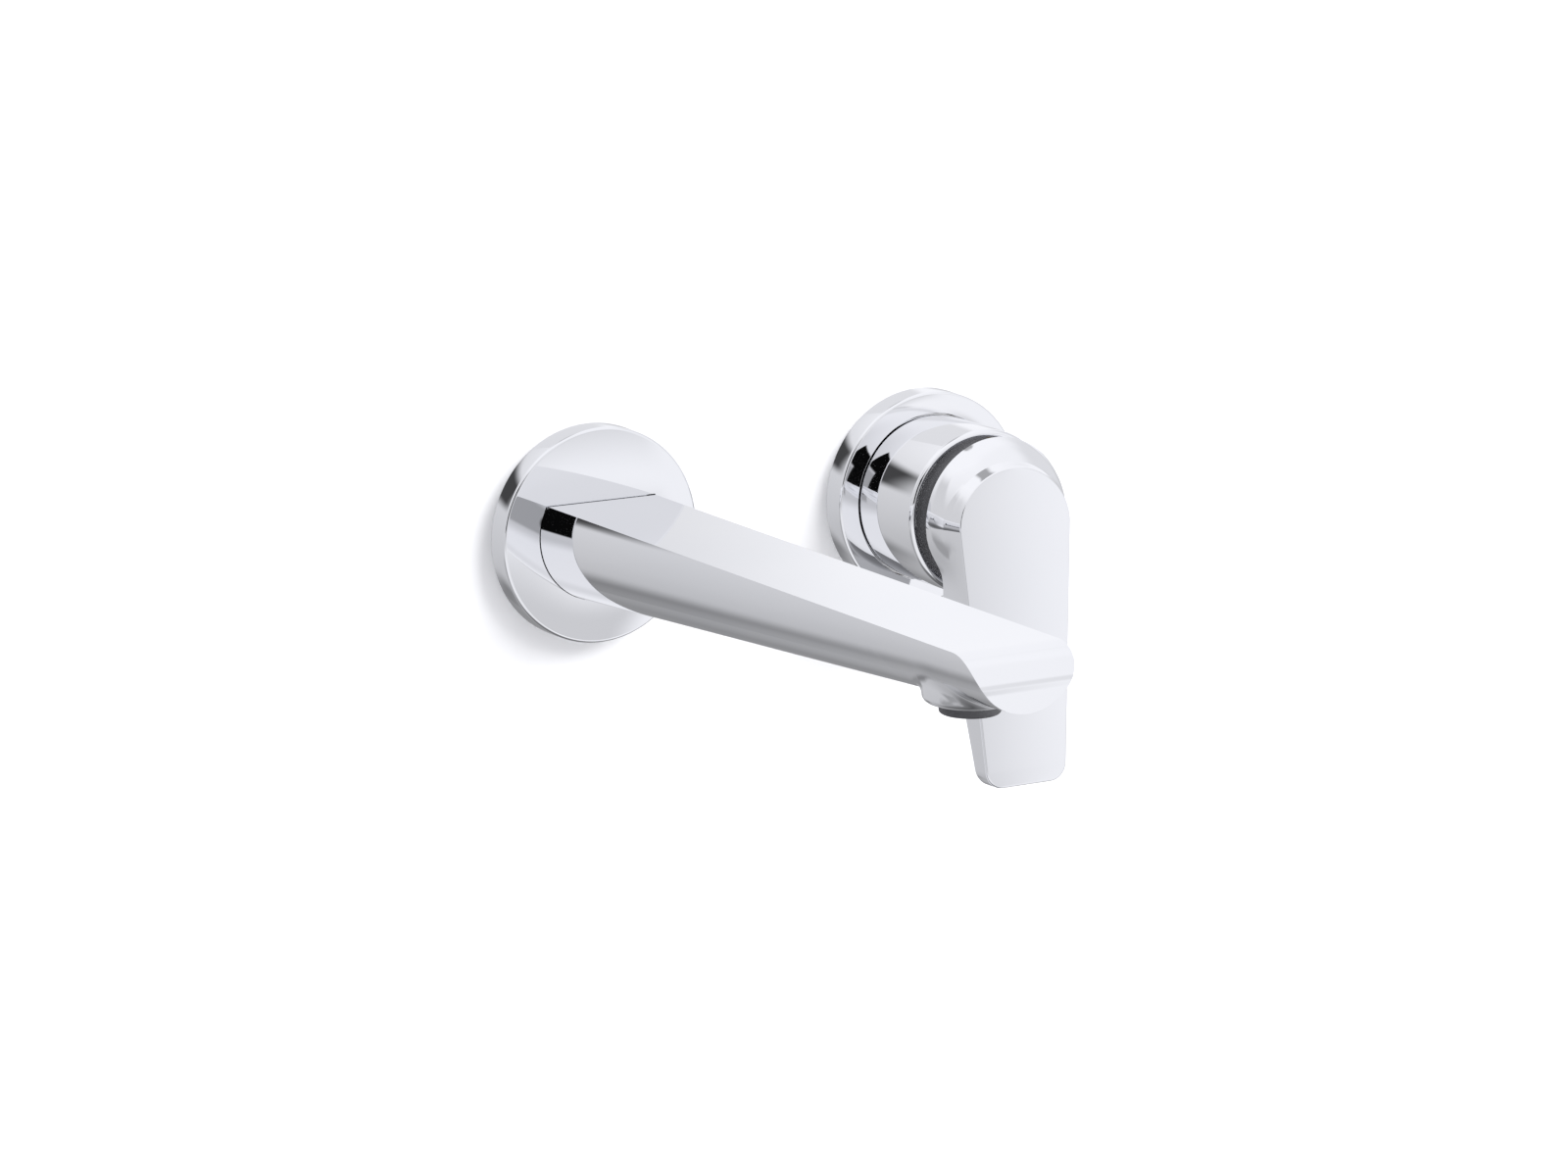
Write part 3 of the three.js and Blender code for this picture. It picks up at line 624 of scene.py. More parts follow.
def under_point(reach, u, edge_z):
    """A point of the round underside: u runs from -1 at one edge over 0 at the bottom to 1."""
    centre, radius = spout_circle(reach)
    angle = u * edge_angle(reach, edge_z)
    return (radius * math.sin(angle), -reach, centre - radius * math.cos(angle))


def top_profile(reach):
    """Height of the flat top, and of the nose where it rounds over."""
    past = max(0.0, reach - (SPOUT_REACH - NOSE_RADIUS))
    return NOSE_Z + math.sqrt(max(0.0, NOSE_RADIUS ** 2 - past ** 2))


def under_height(x, y):
    centre, radius = spout_circle(-y)
    return centre - math.sqrt(max(1e-6, radius ** 2 - x * x))


def fillet_centre(direction, distance):
    """Centre of the boss fillet that touches the underside at a distance from the outlet's axis."""
    step = 0.01
    x, y = direction[0] * distance, OUTLET_Y + direction[1] * distance
    ahead = under_height(x + direction[0] * step, y + direction[1] * step)
    behind = under_height(x - direction[0] * step, y - direction[1] * step)
    rise = (ahead - behind) / (2 * step)
    length = math.hypot(1, rise)
    return distance + BOSS_FILLET * rise / length, under_height(x, y) - BOSS_FILLET / length


def inside_fillet(centre, corner):
    """True while the fillet stands too close to touch the corner, or its upright wall, from outside."""
    if centre[1] > corner[1]:
        return centre[0] < corner[0] + BOSS_CORNER + BOSS_FILLET
    return math.dist(centre, corner) < BOSS_FILLET + BOSS_CORNER


def boss_profile(angle, fillet_steps, corner_steps):
    """One side of the outlet boss, by distance and height: a hollow curve, then a round corner."""
    direction = (math.sin(angle), math.cos(angle))
    corner = (BOSS_RADIUS - BOSS_CORNER, BOSS_BOTTOM + BOSS_CORNER)
    low, high = corner[0], BOSS_RADIUS + BOSS_FILLET * 1.6
    if abs(direction[0]) > 1e-6:
        high = min(high, (spout_circle(-OUTLET_Y)[1] - 0.3) / abs(direction[0]))
    for _ in range(40):
        middle = (low + high) / 2
        centre = fillet_centre(direction, middle)
        if inside_fillet(centre, corner):
            low = middle
        else:
            high = middle
    centre = fillet_centre(direction, low)
    height = under_height(direction[0] * low, OUTLET_Y + direction[1] * low)
    start = math.atan2(height - centre[1], low - centre[0])
    meet = math.atan2(max(0.0, corner[1] - centre[1]), corner[0] - centre[0])
    profile = []
    for k in range(fillet_steps + 1):
        turn = mix(start, meet, k / fillet_steps)
        profile.append((centre[0] + BOSS_FILLET * math.cos(turn), centre[1] + BOSS_FILLET * math.sin(turn)))
    for k in range(1, corner_steps + 1):
        turn = mix(meet - math.pi, -math.pi / 2, k / corner_steps)
        profile.append((corner[0] + BOSS_CORNER * math.cos(turn), corner[1] + BOSS_CORNER * math.sin(turn)))
    return profile


def boss_rings(angles):
    """Rings of the outlet boss from its fillet's outer end in to the aerator chamber."""
    fillet_steps, corner_steps = 10, 6
    rings = [[] for _ in range(fillet_steps + corner_steps + 1)]
    for angle in angles:
        profile = boss_profile(angle, fillet_steps, corner_steps)
        for ring, (distance, z) in zip(rings, profile):
            ring.append((math.sin(angle) * distance, OUTLET_Y + math.cos(angle) * distance, z))
    return rings


class Skin:
    """A mesh in the making: rows of points and the strips of quads between them."""

    def __init__(self):
        self.vertices = []
        self.faces = []

    def row(self, points):
        start = len(self.vertices)
        self.vertices.extend(points)
        return list(range(start, start + len(points)))

    def bridge(self, rows, closed=False):
        for low, high in zip(rows, rows[1:]):
            for i in range(len(low) if closed else len(low) - 1):
                j = (i + 1) % len(low)
                self.faces.append((low[i], low[j], high[j], high[i]))


def nose_edge(flat_steps=24, round_steps=16):
    """Reach and height of the side edge, from the outlet patch along the top and round the nose."""
    edge = []
    for i in range(flat_steps):
        edge.append((mix(PATCH_START, SPOUT_REACH - NOSE_RADIUS, i / flat_steps), SPOUT_TOP))
    for i in range(round_steps + 1):
        turn = math.pi / 2 * i / round_steps
        edge.append((-NOSE_Y + NOSE_RADIUS * math.sin(turn), NOSE_Z + NOSE_RADIUS * math.cos(turn)))
    return edge


def outlet_patch(skin, us, edge, steps=14):
    """The underside's front part: its outline closes in to the boss, and on to the chamber's roof."""
    outline = [(PATCH_START, u, SPOUT_TOP) for u in us]
    outline += [(reach, 1, z) for reach, z in edge[1:]]
    outline += [(SPOUT_REACH, u, NOSE_Z) for u in us[-2::-1]]
    outline += [(reach, -1, z) for reach, z in edge[-2:0:-1]]
    angles = [math.atan2(u * spout_half(reach), -OUTLET_Y - reach) for reach, u, _ in outline]
    boss = boss_rings(angles)
    inner = []
    for x, y, _ in boss[0]:
        radius = spout_circle(-y)[1]
        inner.append((-y, math.asin(x / radius) / edge_angle(-y, top_profile(-y))))
    rings = [skin.row([under_point(*point) for point in outline])]
    for step in range(1, steps):
        t = smooth(step / steps) * 0.5 + 0.5 * step / steps
        points = []
        for (reach, u, _), (inner_reach, inner_u) in zip(outline, inner):
            reach = mix(reach, inner_reach, t)
            points.append(under_point(reach, mix(u, inner_u, t), top_profile(reach)))
        rings.append(skin.row(points))
    for z in (BOSS_BOTTOM, CHAMBER_ROOF):
        boss.append([
            (math.sin(a) * CHAMBER_RADIUS, OUTLET_Y + math.cos(a) * CHAMBER_RADIUS, z) for a in angles
        ])
    rings += [skin.row(points) for points in boss]
    skin.bridge(rings, closed=True)
    skin.faces.append(tuple(rings[-1]))


def spout_skin(across=64, along=44, top_across=24):
    """The whole spout: round underside, outlet, flat top, nose and both ends."""
    skin = Skin()
    us = [mix(-1, 1, i / across) for i in range(across + 1)]
    reaches = [mix(SPOUT_START, PATCH_START, i / along) for i in range(along + 1)]
    sections = [skin.row([under_point(reach, u, SPOUT_TOP) for u in us]) for reach in reaches]
    skin.bridge(sections)
    edge = nose_edge()
    outlet_patch(skin, us, edge)
    rows = []
    for reach, z in [(reach, SPOUT_TOP) for reach in reaches] + edge[1:]:
        half = under_point(reach, 1, z)[0]
        rows.append(skin.row([
            (mix(-half, half, i / top_across), -reach, z) for i in range(top_across + 1)
        ]))
    skin.bridge(rows)
    arc = skin.row([under_point(SPOUT_REACH, u, NOSE_Z) for u in us[-2:0:-1]])
    skin.faces.append(tuple(rows[-1] + arc))
    skin.faces.append(tuple(sections[0] + rows[0][-2:0:-1]))
    return skin


def spout_body():
    skin = spout_skin()
    obj = make_object("spout", skin.vertices, skin.faces, sharp=30, weld=0.004 * MM)
    round_long_edges(obj)
    socket = rod("socket", 9.6, -34, 5, centre=NIPPLE_AXIS)
    screw_hole = rod("screw_hole", 2.8, -30, -5, axis="z", centre=(0, SPOUT_SCREW_Y, 0), sides=48)
    cut(obj, socket, screw_hole, sharp=30)
    flatten_normals(obj)
    place(obj, "root", "polished_chrome", "spout_body")


def round_long_edges(obj):
    """A small round along the two crisp edges of the flat top and the nose."""
    bm = bmesh.new()
    bm.from_mesh(obj.data)
    edges = []
    for e in bm.edges:
        if len(e.link_faces) != 2 or e.calc_face_angle() < math.radians(30):
            continue
        middle = (e.verts[0].co + e.verts[1].co) / 2 / MM
        front = middle.y < -SPOUT_REACH + 0.01 and middle.z < NOSE_Z - 0.01
        if front or (middle.y < -SPOUT_START - 0.5 and middle.z > NOSE_Z):
            edges.append(e)
    bmesh.ops.bevel(bm, geom=edges, offset=EDGE_RADIUS * MM, segments=5, profile=0.5,
                    affect="EDGES", clamp_overlap=True)
    bm.to_mesh(obj.data)
    bm.free()


def flatten_normals(obj):
    """Keeps large flat faces perfectly flat in their shading, up to the small rounds beside them."""
    weighted = obj.modifiers.new("normals", "WEIGHTED_NORMAL")
    weighted.weight = 100
    weighted.keep_sharp = True
    apply_modifiers(obj)


# ------------------------------------------------------------------ wall plates and sleeve
def wall_plate(name, hole, x):
    recess = -PLATE_DEPTH + PLATE_FACE
    inside = PLATE_RADIUS - PLATE_RIM
    return turned(name, [
        (hole, -PLATE_DEPTH, 0.25),
        (hole, recess, 0.2),
        (inside, recess, 0.8),
        (inside, 0, 0.2),
        (PLATE_RADIUS, 0, 0.2),
        (PLATE_RADIUS - 0.15, -PLATE_DEPTH, 0.95),
    ], centre=(x, 0, 0), sides=192, steps=8)


def spout_plate():
    """The plate with a D-shaped hole, a hair larger than the spout that passes through it."""
    plate = wall_plate("spout_wall_plate", 8, 0)
    clear = GAP * 0.7
    outline = [under_point(20, mix(-1, 1, i / 96), SPOUT_TOP) for i in range(97)]
    root = [under_point(0, mix(-1, 1, i / 96), SPOUT_TOP) for i in range(97)]
    rings = []
    for y, section in ((-20.0, outline), (5.0, root)):
        rings.append([(x * 1.012, y, z + (clear if z > 10 else -clear)) for x, _, z in section])
    cut(plate, loft("hole", rings))
    place(plate, "root", "polished_chrome", "spout_plate")


def handle_plate():
    plate = wall_plate("handle_wall_plate", SLEEVE_RADIUS + GAP, HANDLE_X)
    place(plate, "root", "polished_chrome", "handle_plate")


def handle_sleeve():
    """A tube with a well rounded mouth."""
    sleeve = turned("handle_tube", [
        (SLEEVE_BORE, SLEEVE_FRONT, 0.35),
        (SLEEVE_BORE, -0.5, 0.2),
        (SLEEVE_RADIUS, -0.5, 0.2),
        (SLEEVE_RADIUS, SLEEVE_FRONT, 1.5),
    ], centre=HANDLE_AXIS, sides=192, steps=6)
    place(sleeve, "root", "polished_chrome", "handle_sleeve")


def cartridge_cover(steps=14):
    """The dark cover in the gap: a tube that closes in as a ball about the tilt axis."""
    outer, inner = 24.0, 22.6
    profile = [(21.2, -14.6), (inner, -14.6)]
    for radius, order in ((outer, range(steps + 1)), (inner, range(steps, -1, -1))):
        for i in order:
            y = mix(-38.0, -44.0, i / steps)
            profile.append((math.sqrt(radius ** 2 - (y - PIVOT_Y) ** 2), y))
    cover = turned("gap_cover", [(r, a, 0) for r, a in profile], centre=HANDLE_AXIS, sides=128)
    place(cover, "root", "dark_plastic", "cartridge_cover")


# ------------------------------------------------------------------ handle lever
def lever_outline(oval_steps=56, side_steps=30, corner_steps=10):
    """Right half of the flat face's outline from the top to the middle of the bottom edge."""
    oval_z = FACE_TOP - OVAL_HEIGHT
    corner_z = BLADE_BOTTOM + BLADE_CORNER
    points = []
    for i in range(oval_steps + 1):
        angle = math.pi / 2 * i / oval_steps
        points.append((FACE_HALF * math.sin(angle), oval_z + OVAL_HEIGHT * math.cos(angle)))
    for i in range(1, side_steps + 1):
        z = mix(oval_z, corner_z, i / side_steps)
        points.append((FACE_HALF - BLADE_TAPER * (oval_z - z), z))
    half = points[-1][0]
    for i in range(1, corner_steps + 1):
        angle = math.pi / 2 * i / corner_steps
        inset = BLADE_CORNER * (1 - math.cos(angle)) + 0.2 * math.sin(angle)
        points.append((half - inset, corner_z - BLADE_CORNER * math.sin(angle)))
    for i in range(1, 7):
        points.append((mix(points[-1][0], 0, i / 6) if i < 6 else 0.0, BLADE_BOTTOM))
    return points


def face_y(z):
    return FACE_Y + FACE_LEAN * z


def back_y(z):
    below = max(0.0, -z - 25)
    return CAP_BACK - 0.3 * below + 0.0008 * below ** 2


def crease_y(z):
    depth = mix(5.5, 3.2, smooth(z / FACE_TOP))
    return face_y(z) + mix(0.5, depth, smooth((z + 48) / 45))


def lever_ring(outline, side_swell, top_swell, depth):
    """The outline further back: it swells towards the cap's circle, and stays close on the blade."""
    points = []
    for half, z in outline:
        on_cap = smooth((z + 27) / 24)
        swell = mix(side_swell, top_swell, smooth(z / FACE_TOP))
        stretch = mix(1, CAP_RADIUS / math.hypot(half, z), on_cap * swell)
        flare = mix(0.5, 0, on_cap) * swell * clamp01(half / 2)
        points.append((half * stretch + flare, depth(z), z * stretch))
    return points


def inset_ring(outline, inset, depth):
    """The face outline drawn in by a small amount, for the round between face and side."""
    points = []
    for i, (half, z) in enumerate(outline):
        before = outline[max(0, i - 1)]
        after = outline[min(len(outline) - 1, i + 1)]
        tangent = Vector((after[0] - before[0], after[1] - before[1])).normalized()
        normal = Vector((-tangent.y, tangent.x))
        if half < 1e-6:
            normal = Vector((0, 1 if z > 0 else -1))
        if normal.dot(Vector((half, z + 20))) < 0:
            normal = -normal
        points.append((max(0.0, half - normal.x * inset), depth(z), z - normal.y * inset))
    return points


def lever_shell():
    outline = lever_outline()
    edge = 0.55
    rings = []
    for k in range(5):
        turn = math.pi / 2 * k / 4
        inset = edge * (1 - math.sin(turn))
        drop = edge * (1 - math.cos(turn))
        rings.append(inset_ring(outline, inset, lambda z, d=drop: face_y(z) + d))
    for t in (0.35, 0.7, 1.0):
        rings.append(lever_ring(outline, 0.4 * t, 0.17 * t,
                                lambda z, t=t: mix(face_y(z) + min(edge, 0.5), crease_y(z), t)))
    shoulder_steps = 10
    for k in range(1, shoulder_steps + 1):
        t = k / shoulder_steps
        bulge = math.sin(math.pi * t)
        rings.append(lever_ring(
            outline,
            mix(0.4, 1, t) + 0.1 * bulge,
            mix(0.17, 1, t) + 0.12 * bulge,
            lambda z, t=t: mix(crease_y(z), back_y(z), t),
        ))
    full = []
    for ring in rings:
        mirrored = [(-x, y, z) for x, y, z in reversed(ring[1:-1])]
        full.append([(x + HANDLE_X, y, z) for x, y, z in ring + mirrored])
    size = len(full[0])
    faces = loft_faces(len(full), size)
    bottom_row = next(i for i, (_, z) in enumerate(outline) if z <= BLADE_BOTTOM)
    for start in (0, (len(full) - 1) * size):
        for i in range(bottom_row - 1):
            left_here = start + (size - i) % size
            left_next = start + (size - i - 1) % size
            corners = dict.fromkeys((start + i, start + i + 1, left_next, left_here))
            faces.append(tuple(corners))
        faces.append(tuple(range(start + bottom_row - 1, start + size - bottom_row + 2)))
    return make_object("lever", [p for ring in full for p in ring], faces, sharp=24)


def square_bar(name, half, start, end):
    """A square bar along the handle's axis."""
    return block(name, (HANDLE_X - half, start, -half), (HANDLE_X + half, end, half))


def handle_lever():
    """The shell with its hollow, the hub that takes the stem, and the set screw's hole."""
    lever = lever_shell()
    cavity = turned("cavity", [
        (9, CAP_BACK + 5, 0),
        (20, CAP_BACK + 5, 0),
        (20, -49.5, 0),
        (17, -49.5, 0),
        (17, -52.5, 0),
        (9, -52.5, 0),
    ], centre=HANDLE_AXIS)
    socket = square_bar("socket", 5.6, -51.6, -30)
    screw_hole = rod("screw_hole", 2.7, 4, 30, "x", SCREW_AXIS, 48)
    join(lever, rod("hub", 9, -41, -50, centre=HANDLE_AXIS))
    cut(lever, cavity, socket, screw_hole, sharp=24)
    flatten_normals(lever)
    place(lever, "handle", "polished_chrome", "handle_lever")


# ------------------------------------------------------------------ outlet
def round_ring(name, radius, section, along, axis="y", centre=(0, 0, 0)):
    profile = []
    for i in range(20):
        turn = 2 * math.pi * i / 20
        profile.append((radius + section * math.cos(turn), along + section * math.sin(turn), 0))
    return turned(name, profile, axis, centre, sides=96, sharp=60)


def flat_ring(name, outer, inner, start, end, corner, axis="y", centre=(0, 0, 0)):
    return turned(name, [
        (inner, start, corner),
        (inner, end, corner),
        (outer, end, corner),
        (outer, start, corner),
    ], axis, centre)


def aerator_housing():
    """The dark ring round the outlet, with four slots for a coin."""
    housing = turned("aerator_ring", [
        (AERATOR_BORE, AERATOR_BOTTOM, 0.35),
        (AERATOR_RADIUS, AERATOR_BOTTOM, 0.9),
        (AERATOR_RADIUS, AERATOR_TOP, 0.25),
        (AERATOR_BORE, AERATOR_TOP, 0.2),
    ], "z", OUTLET_AXIS)
    slots = []
    for i in range(4):
        turn = math.pi / 4 + math.pi / 2 * i
        x, y = 6.6 * math.cos(turn), OUTLET_Y + 6.6 * math.sin(turn)
        slots.append(rod("slot", 0.9, AERATOR_BOTTOM - 1, AERATOR_BOTTOM + 1.1, "z", (x, y, 0), 24))
    place(cut(housing, *slots), "root", "dark_plastic", "aerator_housing")


def aerator_insert(spacing=1.4, rib_half=0.2):
    """The grid that straightens the water: a ring crossed by ribs both ways."""
    radius = AERATOR_BORE - GAP
    low, high = AERATOR_BOTTOM + 0.8, -6.0
    grid = flat_ring("aerator_grid", radius, radius - 0.8, low, high, 0.2, "z", OUTLET_AXIS)
    ribs = []
    for line in range(-4, 5):
        x = line * spacing
        y = OUTLET_Y + x
        reach = math.sqrt((radius - 0.4) ** 2 - x ** 2)
        start, end = OUTLET_Y - reach, OUTLET_Y + reach
        ribs.append(block("rib", (x - rib_half, start, low + 0.3), (x + rib_half, end, high)))
        ribs.append(block("rib", (-reach, y - rib_half, low + 0.3), (reach, y + rib_half, high)))
    place(join(grid, *ribs), "root", "grey_plastic", "aerator_insert")


# ------------------------------------------------------------------ seals, nipple and retainer
def seals():
    outer = PLATE_RADIUS - PLATE_RIM - GAP
    front = -PLATE_DEPTH + PLATE_FACE + GAP
    foam = flat_ring("spout_foam", outer, 23, front, -0.2, 0.6)
    place(foam, "root", "foam_seal", "spout_plate_seal")
    foam = flat_ring("handle_foam", outer, 28.6, front, -0.2, 0.5, centre=HANDLE_AXIS)
    place(foam, "root", "foam_seal", "handle_plate_seal")
    ring = round_ring("sleeve_ring", 27.2, 0.85, front + 1.1, centre=HANDLE_AXIS)
    place(ring, "root", "black_rubber", "sleeve_o_ring")
    for end, y in O_RING_YS:
        ring = round_ring("nipple_ring_" + end, 8.7, 0.75, y, centre=NIPPLE_AXIS)
        place(ring, "root", "black_rubber", "spout_o_ring_" + end)
    for name, x, z in PORTS:
        seal = flat_ring(name + "_seal", 4.6, 3.3, 8.5, 9.7, 0.4, centre=(HANDLE_X + x, 0, z))
        place(seal, "root", "black_rubber", name + "_port_seal")
    washer = flat_ring("aerator_seal", AERATOR_RADIUS - 0.2, AERATOR_BORE, -4.2, -3, 0.3, "z", OUTLET_AXIS)
    place(washer, "root", "black_rubber", "aerator_washer")


def spout_nipple():
    """Brass stub for the spout: a chamfered nose, two ring grooves and a threaded tail."""
    profile = [(NIPPLE_BORE, -31, 0.2), (8.2, -31, 0.2), (NIPPLE_RADIUS, -30, 0.2)]
    for _, y in O_RING_YS:
        front, rear = y - 1.3, y + 1.3
        profile += [(NIPPLE_RADIUS, front, 0.1), (7.7, front, 0.1)]
        profile += [(7.7, rear, 0.1), (NIPPLE_RADIUS, rear, 0.1)]
    profile += [(NIPPLE_RADIUS, 4.5, 0)] + threads(NIPPLE_RADIUS, 5, 15)
    profile += [(8.4, 16, 0.1), (NIPPLE_BORE, 16, 0.2)]
    place(turned("nipple", profile, centre=NIPPLE_AXIS), "root", "turned_brass", "spout_nipple")


def sleeve_retainer():
    """Threaded ring that holds the sleeve, with four notches for a key."""
    radius = SLEEVE_BORE - GAP
    profile = [(20.8, -12, 0.3), (20.8, -3, 0.3)] + threads(radius, -3.2, -10)
    profile += [(radius, -10.4, 0.1), (radius, -12, 0.4)]
    nut = turned("retainer", profile, centre=HANDLE_AXIS)
    notches = []
    for i in range(4):
        turn = math.pi / 2 * i
        x, z = HANDLE_X + 22 * math.sin(turn), 22 * math.cos(turn)
        notches.append(rod("notch", 1.6, -13, -9.5, centre=(x, 0, z), sides=24))
    place(cut(nut, *notches), "root", "turned_brass", "sleeve_retainer")


# ------------------------------------------------------------------ nuts, tube and screws
def hex_nut(name, radius, bore, start, end, axis, centre):
    """A hexagon with its corners turned off at both ends, and a rounded bore."""
    flat = radius * math.cos(math.pi / 6)
    slope = (radius - flat) * 0.75
    nut = prism(name, 6, radius, start, end, axis, centre)
    blank = disc("blank", [
        (0, start, 0),
        (flat * 0.97, start, 0),
        (radius * 1.01, start + slope, 0),
        (radius * 1.01, end - slope, 0),
        (flat * 0.97, end, 0),
        (0, end, 0),
    ], axis, centre)
    combine(nut, [blank], "INTERSECT")
    hole = disc("hole", [
        (0, start - 1, 0),
        (bore + 1.6, start - 1, 0),
        (bore, start + 0.6, 0),
        (bore, end - 0.6, 0),
        (bore + 1.6, end + 1, 0),
        (0, end + 1, 0),
    ], axis, centre)
    return cut(nut, hole)


def crossover():
    """Copper tube between valve and elbow, with a brass nut at each end."""
    centre = (0, CROSS_Y, CROSS_Z)
    tube = flat_ring("tube", 8, 6.6, 22.5, HANDLE_X - 26.5, 0.4, "x", centre)
    place(tube, "root", "copper_tube", "crossover_tube")
    for side, start in (("left", 32.3), ("right", HANDLE_X - 48)):
        nut = hex_nut("nut_" + side, 13, TUBE_HOLE, start, start + 9.7, "x", centre)
        place(nut, "root", "turned_brass", "crossover_nut_" + side)


def cartridge_nut():
    """The hexagon nut that clamps the cartridge, with its thread towards the wall."""
    nut = hex_nut("bonnet", 20.4, 14.5, -20, -14.3, "y", HANDLE_AXIS)
    profile = [(14.5, -15, 0), (14.5, -6.3, 0.3), (17.9, -6.3, 0.2)] + threads(18.6, -6.9, -14)
    profile += [(17.6, -15, 0)]
    join(nut, turned("thread", profile, centre=HANDLE_AXIS))
    place(nut, "root", "turned_brass", "cartridge_nut")


def bracket_screw(name, x, z, tip):
    """A pan head screw with a cross recess and a threaded shank."""
    under = BRACKET_BACK + GAP
    top = under + 2.4
    floor = under + 1.0
    profile = [(0, tip, 0), (1.1, tip, 0)] + threads(2, tip + 0.8, under - 0.4, 0.8, 0.35)
    profile += [(2, under, 0), (4, under, 0.25), (4, floor, 0.5), (2.6, top, 0.6), (0, top, 0)]
    screw = disc(name, profile, centre=(x, 0, z), sides=48, steps=4)
    recesses = [
        block("recess", (x - a, floor, z - b), (x + a, under + 3, z + b))
        for a, b in ((1.7, 0.35), (0.35, 1.7))
    ]
    return cut(screw, *recesses)


def socket_screw(name, start, end, axis, centre):
    """A headless screw with a chamfered point and a hexagon socket in its outer end."""
    step = 0.5 if end > start else -0.5
    profile = [(0, start, 0), (SET_SCREW_RADIUS - 0.7, start, 0)]
    profile += threads(SET_SCREW_RADIUS, start + step, end - step, 0.7, 0.3)
    profile += [(SET_SCREW_RADIUS - 0.5, end, 0), (0, end, 0)]
    screw = disc(name, profile, axis, centre, sides=48)
    floor = end - 0.4 * (end - start)
    return cut(screw, prism("hex", 6, SET_SCREW_RADIUS * 0.55, floor, end + step, axis, centre))


def screws_and_pin():
    for index, x in enumerate(ELBOW_SCREW_XS, 1):
        screw = bracket_screw(f"elbow_fixing_{index}", x, NIPPLE_Z, 30)
        place(screw, "root", "stainless_steel", f"elbow_screw_{index}")
    for index, z in enumerate(VALVE_SCREW_ZS, 1):
        screw = bracket_screw(f"valve_fixing_{index}", HANDLE_X, z, 28.5)
        place(screw, "root", "stainless_steel", f"valve_screw_{index}")
    grub = socket_screw("spout_grub", -14.1, -19, "z", (0, SPOUT_SCREW_Y, 0))
    place(grub, "root", "stainless_steel", "spout_set_screw")
    grub = socket_screw("lever_grub", 4.0, 10.5, "x", SCREW_AXIS)
    place(grub, "handle", "stainless_steel", "handle_set_screw")
    plug = rod("screw_plug", SET_SCREW_RADIUS, 20.8, 23, "x", SCREW_AXIS, corner=0.35)
    place(plug, "handle", "grey_plastic", "set_screw_plug")
    pin = rod("tilt_pin", 1.2, -9.4, 9.4, "x", PIVOT_AXIS, 32, corner=0.3)
    place(pin, "guide", "stainless_steel", "pivot_pin")


# ------------------------------------------------------------------ cartridge
def port_holes(radius, start, end):
    return [rod("port", radius, start, end, centre=(HANDLE_X + x, 0, z), sides=48) for _, x, z in PORTS]


def cartridge_housing():
    housing = turned("cartridge_shell", [
        (12.6, 4, 0.2),
        (17.5, 4, 0.3),
        (17.5, -5.9, 0.4),
        (14.1, -5.9, 0.4),
        (14.1, -34, 0.5),
        (10.5, -34, 0.4),
        (10.5, -27.5, 0.2),
        (12.6, -27.5, 0.2),
    ], centre=HANDLE_AXIS)
    place(housing, "root", "white_plastic", "cartridge_housing")


def cartridge_base():
    base = disc("cartridge_foot", [
        (0, 2.7, 0),
        (12.3, 2.7, 0.2),
        (12.3, 4.3, 0.1),
        (17.4, 4.3, 0.4),
        (17.4, 9.6, 0.4),
        (0, 9.6, 0),
    ], centre=HANDLE_AXIS)
    cut(base, *port_holes(PORT_RADIUS, 1, 12), *port_holes(4.9, 8.2, 12))
    place(base, "root", "grey_plastic", "cartridge_base")


def ceramic_discs():
    """The fixed disc with its three ports, and the moving disc with the carrier that drives it."""
    fixed = rod("port_disc", 12.3, -1.4, 2.4, centre=HANDLE_AXIS, corner=0.25)
    place(cut(fixed, *port_holes(PORT_RADIUS, -3, 4)), "root", "ceramic", "fixed_disc")
    shifted = (HANDLE_X, 0, DISC_REST_Z)
    moving = rod("flow_disc", 9.8, -4.7, -1.7, centre=shifted, corner=0.25)
    place(cut(moving, rod("pocket", 6, -2.9, 0, centre=shifted)), "disc", "ceramic", "moving_disc")
    carrier = rod("disc_holder", 10.1, -13.6, -5, centre=shifted, corner=0.5)
    fork = block("fork", (HANDLE_X - 3.4, -15, -3.6), (HANDLE_X + 3.4, -8.2, 3.6))
    place(cut(carrier, fork), "disc", "white_plastic", "disc_carrier")


def lever_guide():
    """The piece that turns with the handle, slotted for the stem and bored for the pin."""
    guide = disc("stem_guide", [
        (0, -33.8, 0),
        (10.2, -33.8, 0.5),
        (10.2, -27.2, 0.2),
        (12.3, -27.2, 0.2),
        (12.3, -14, 0.4),
        (0, -14, 0),
    ], centre=HANDLE_AXIS)
    slot = block("slot", (HANDLE_X - 4, -35, -7.6), (HANDLE_X + 4, -13, 5.3))
    hole = rod("hole", PIN_HOLE, -13, 13, "x", PIVOT_AXIS, 32)
    place(cut(guide, slot, hole), "guide", "white_plastic", "lever_guide")


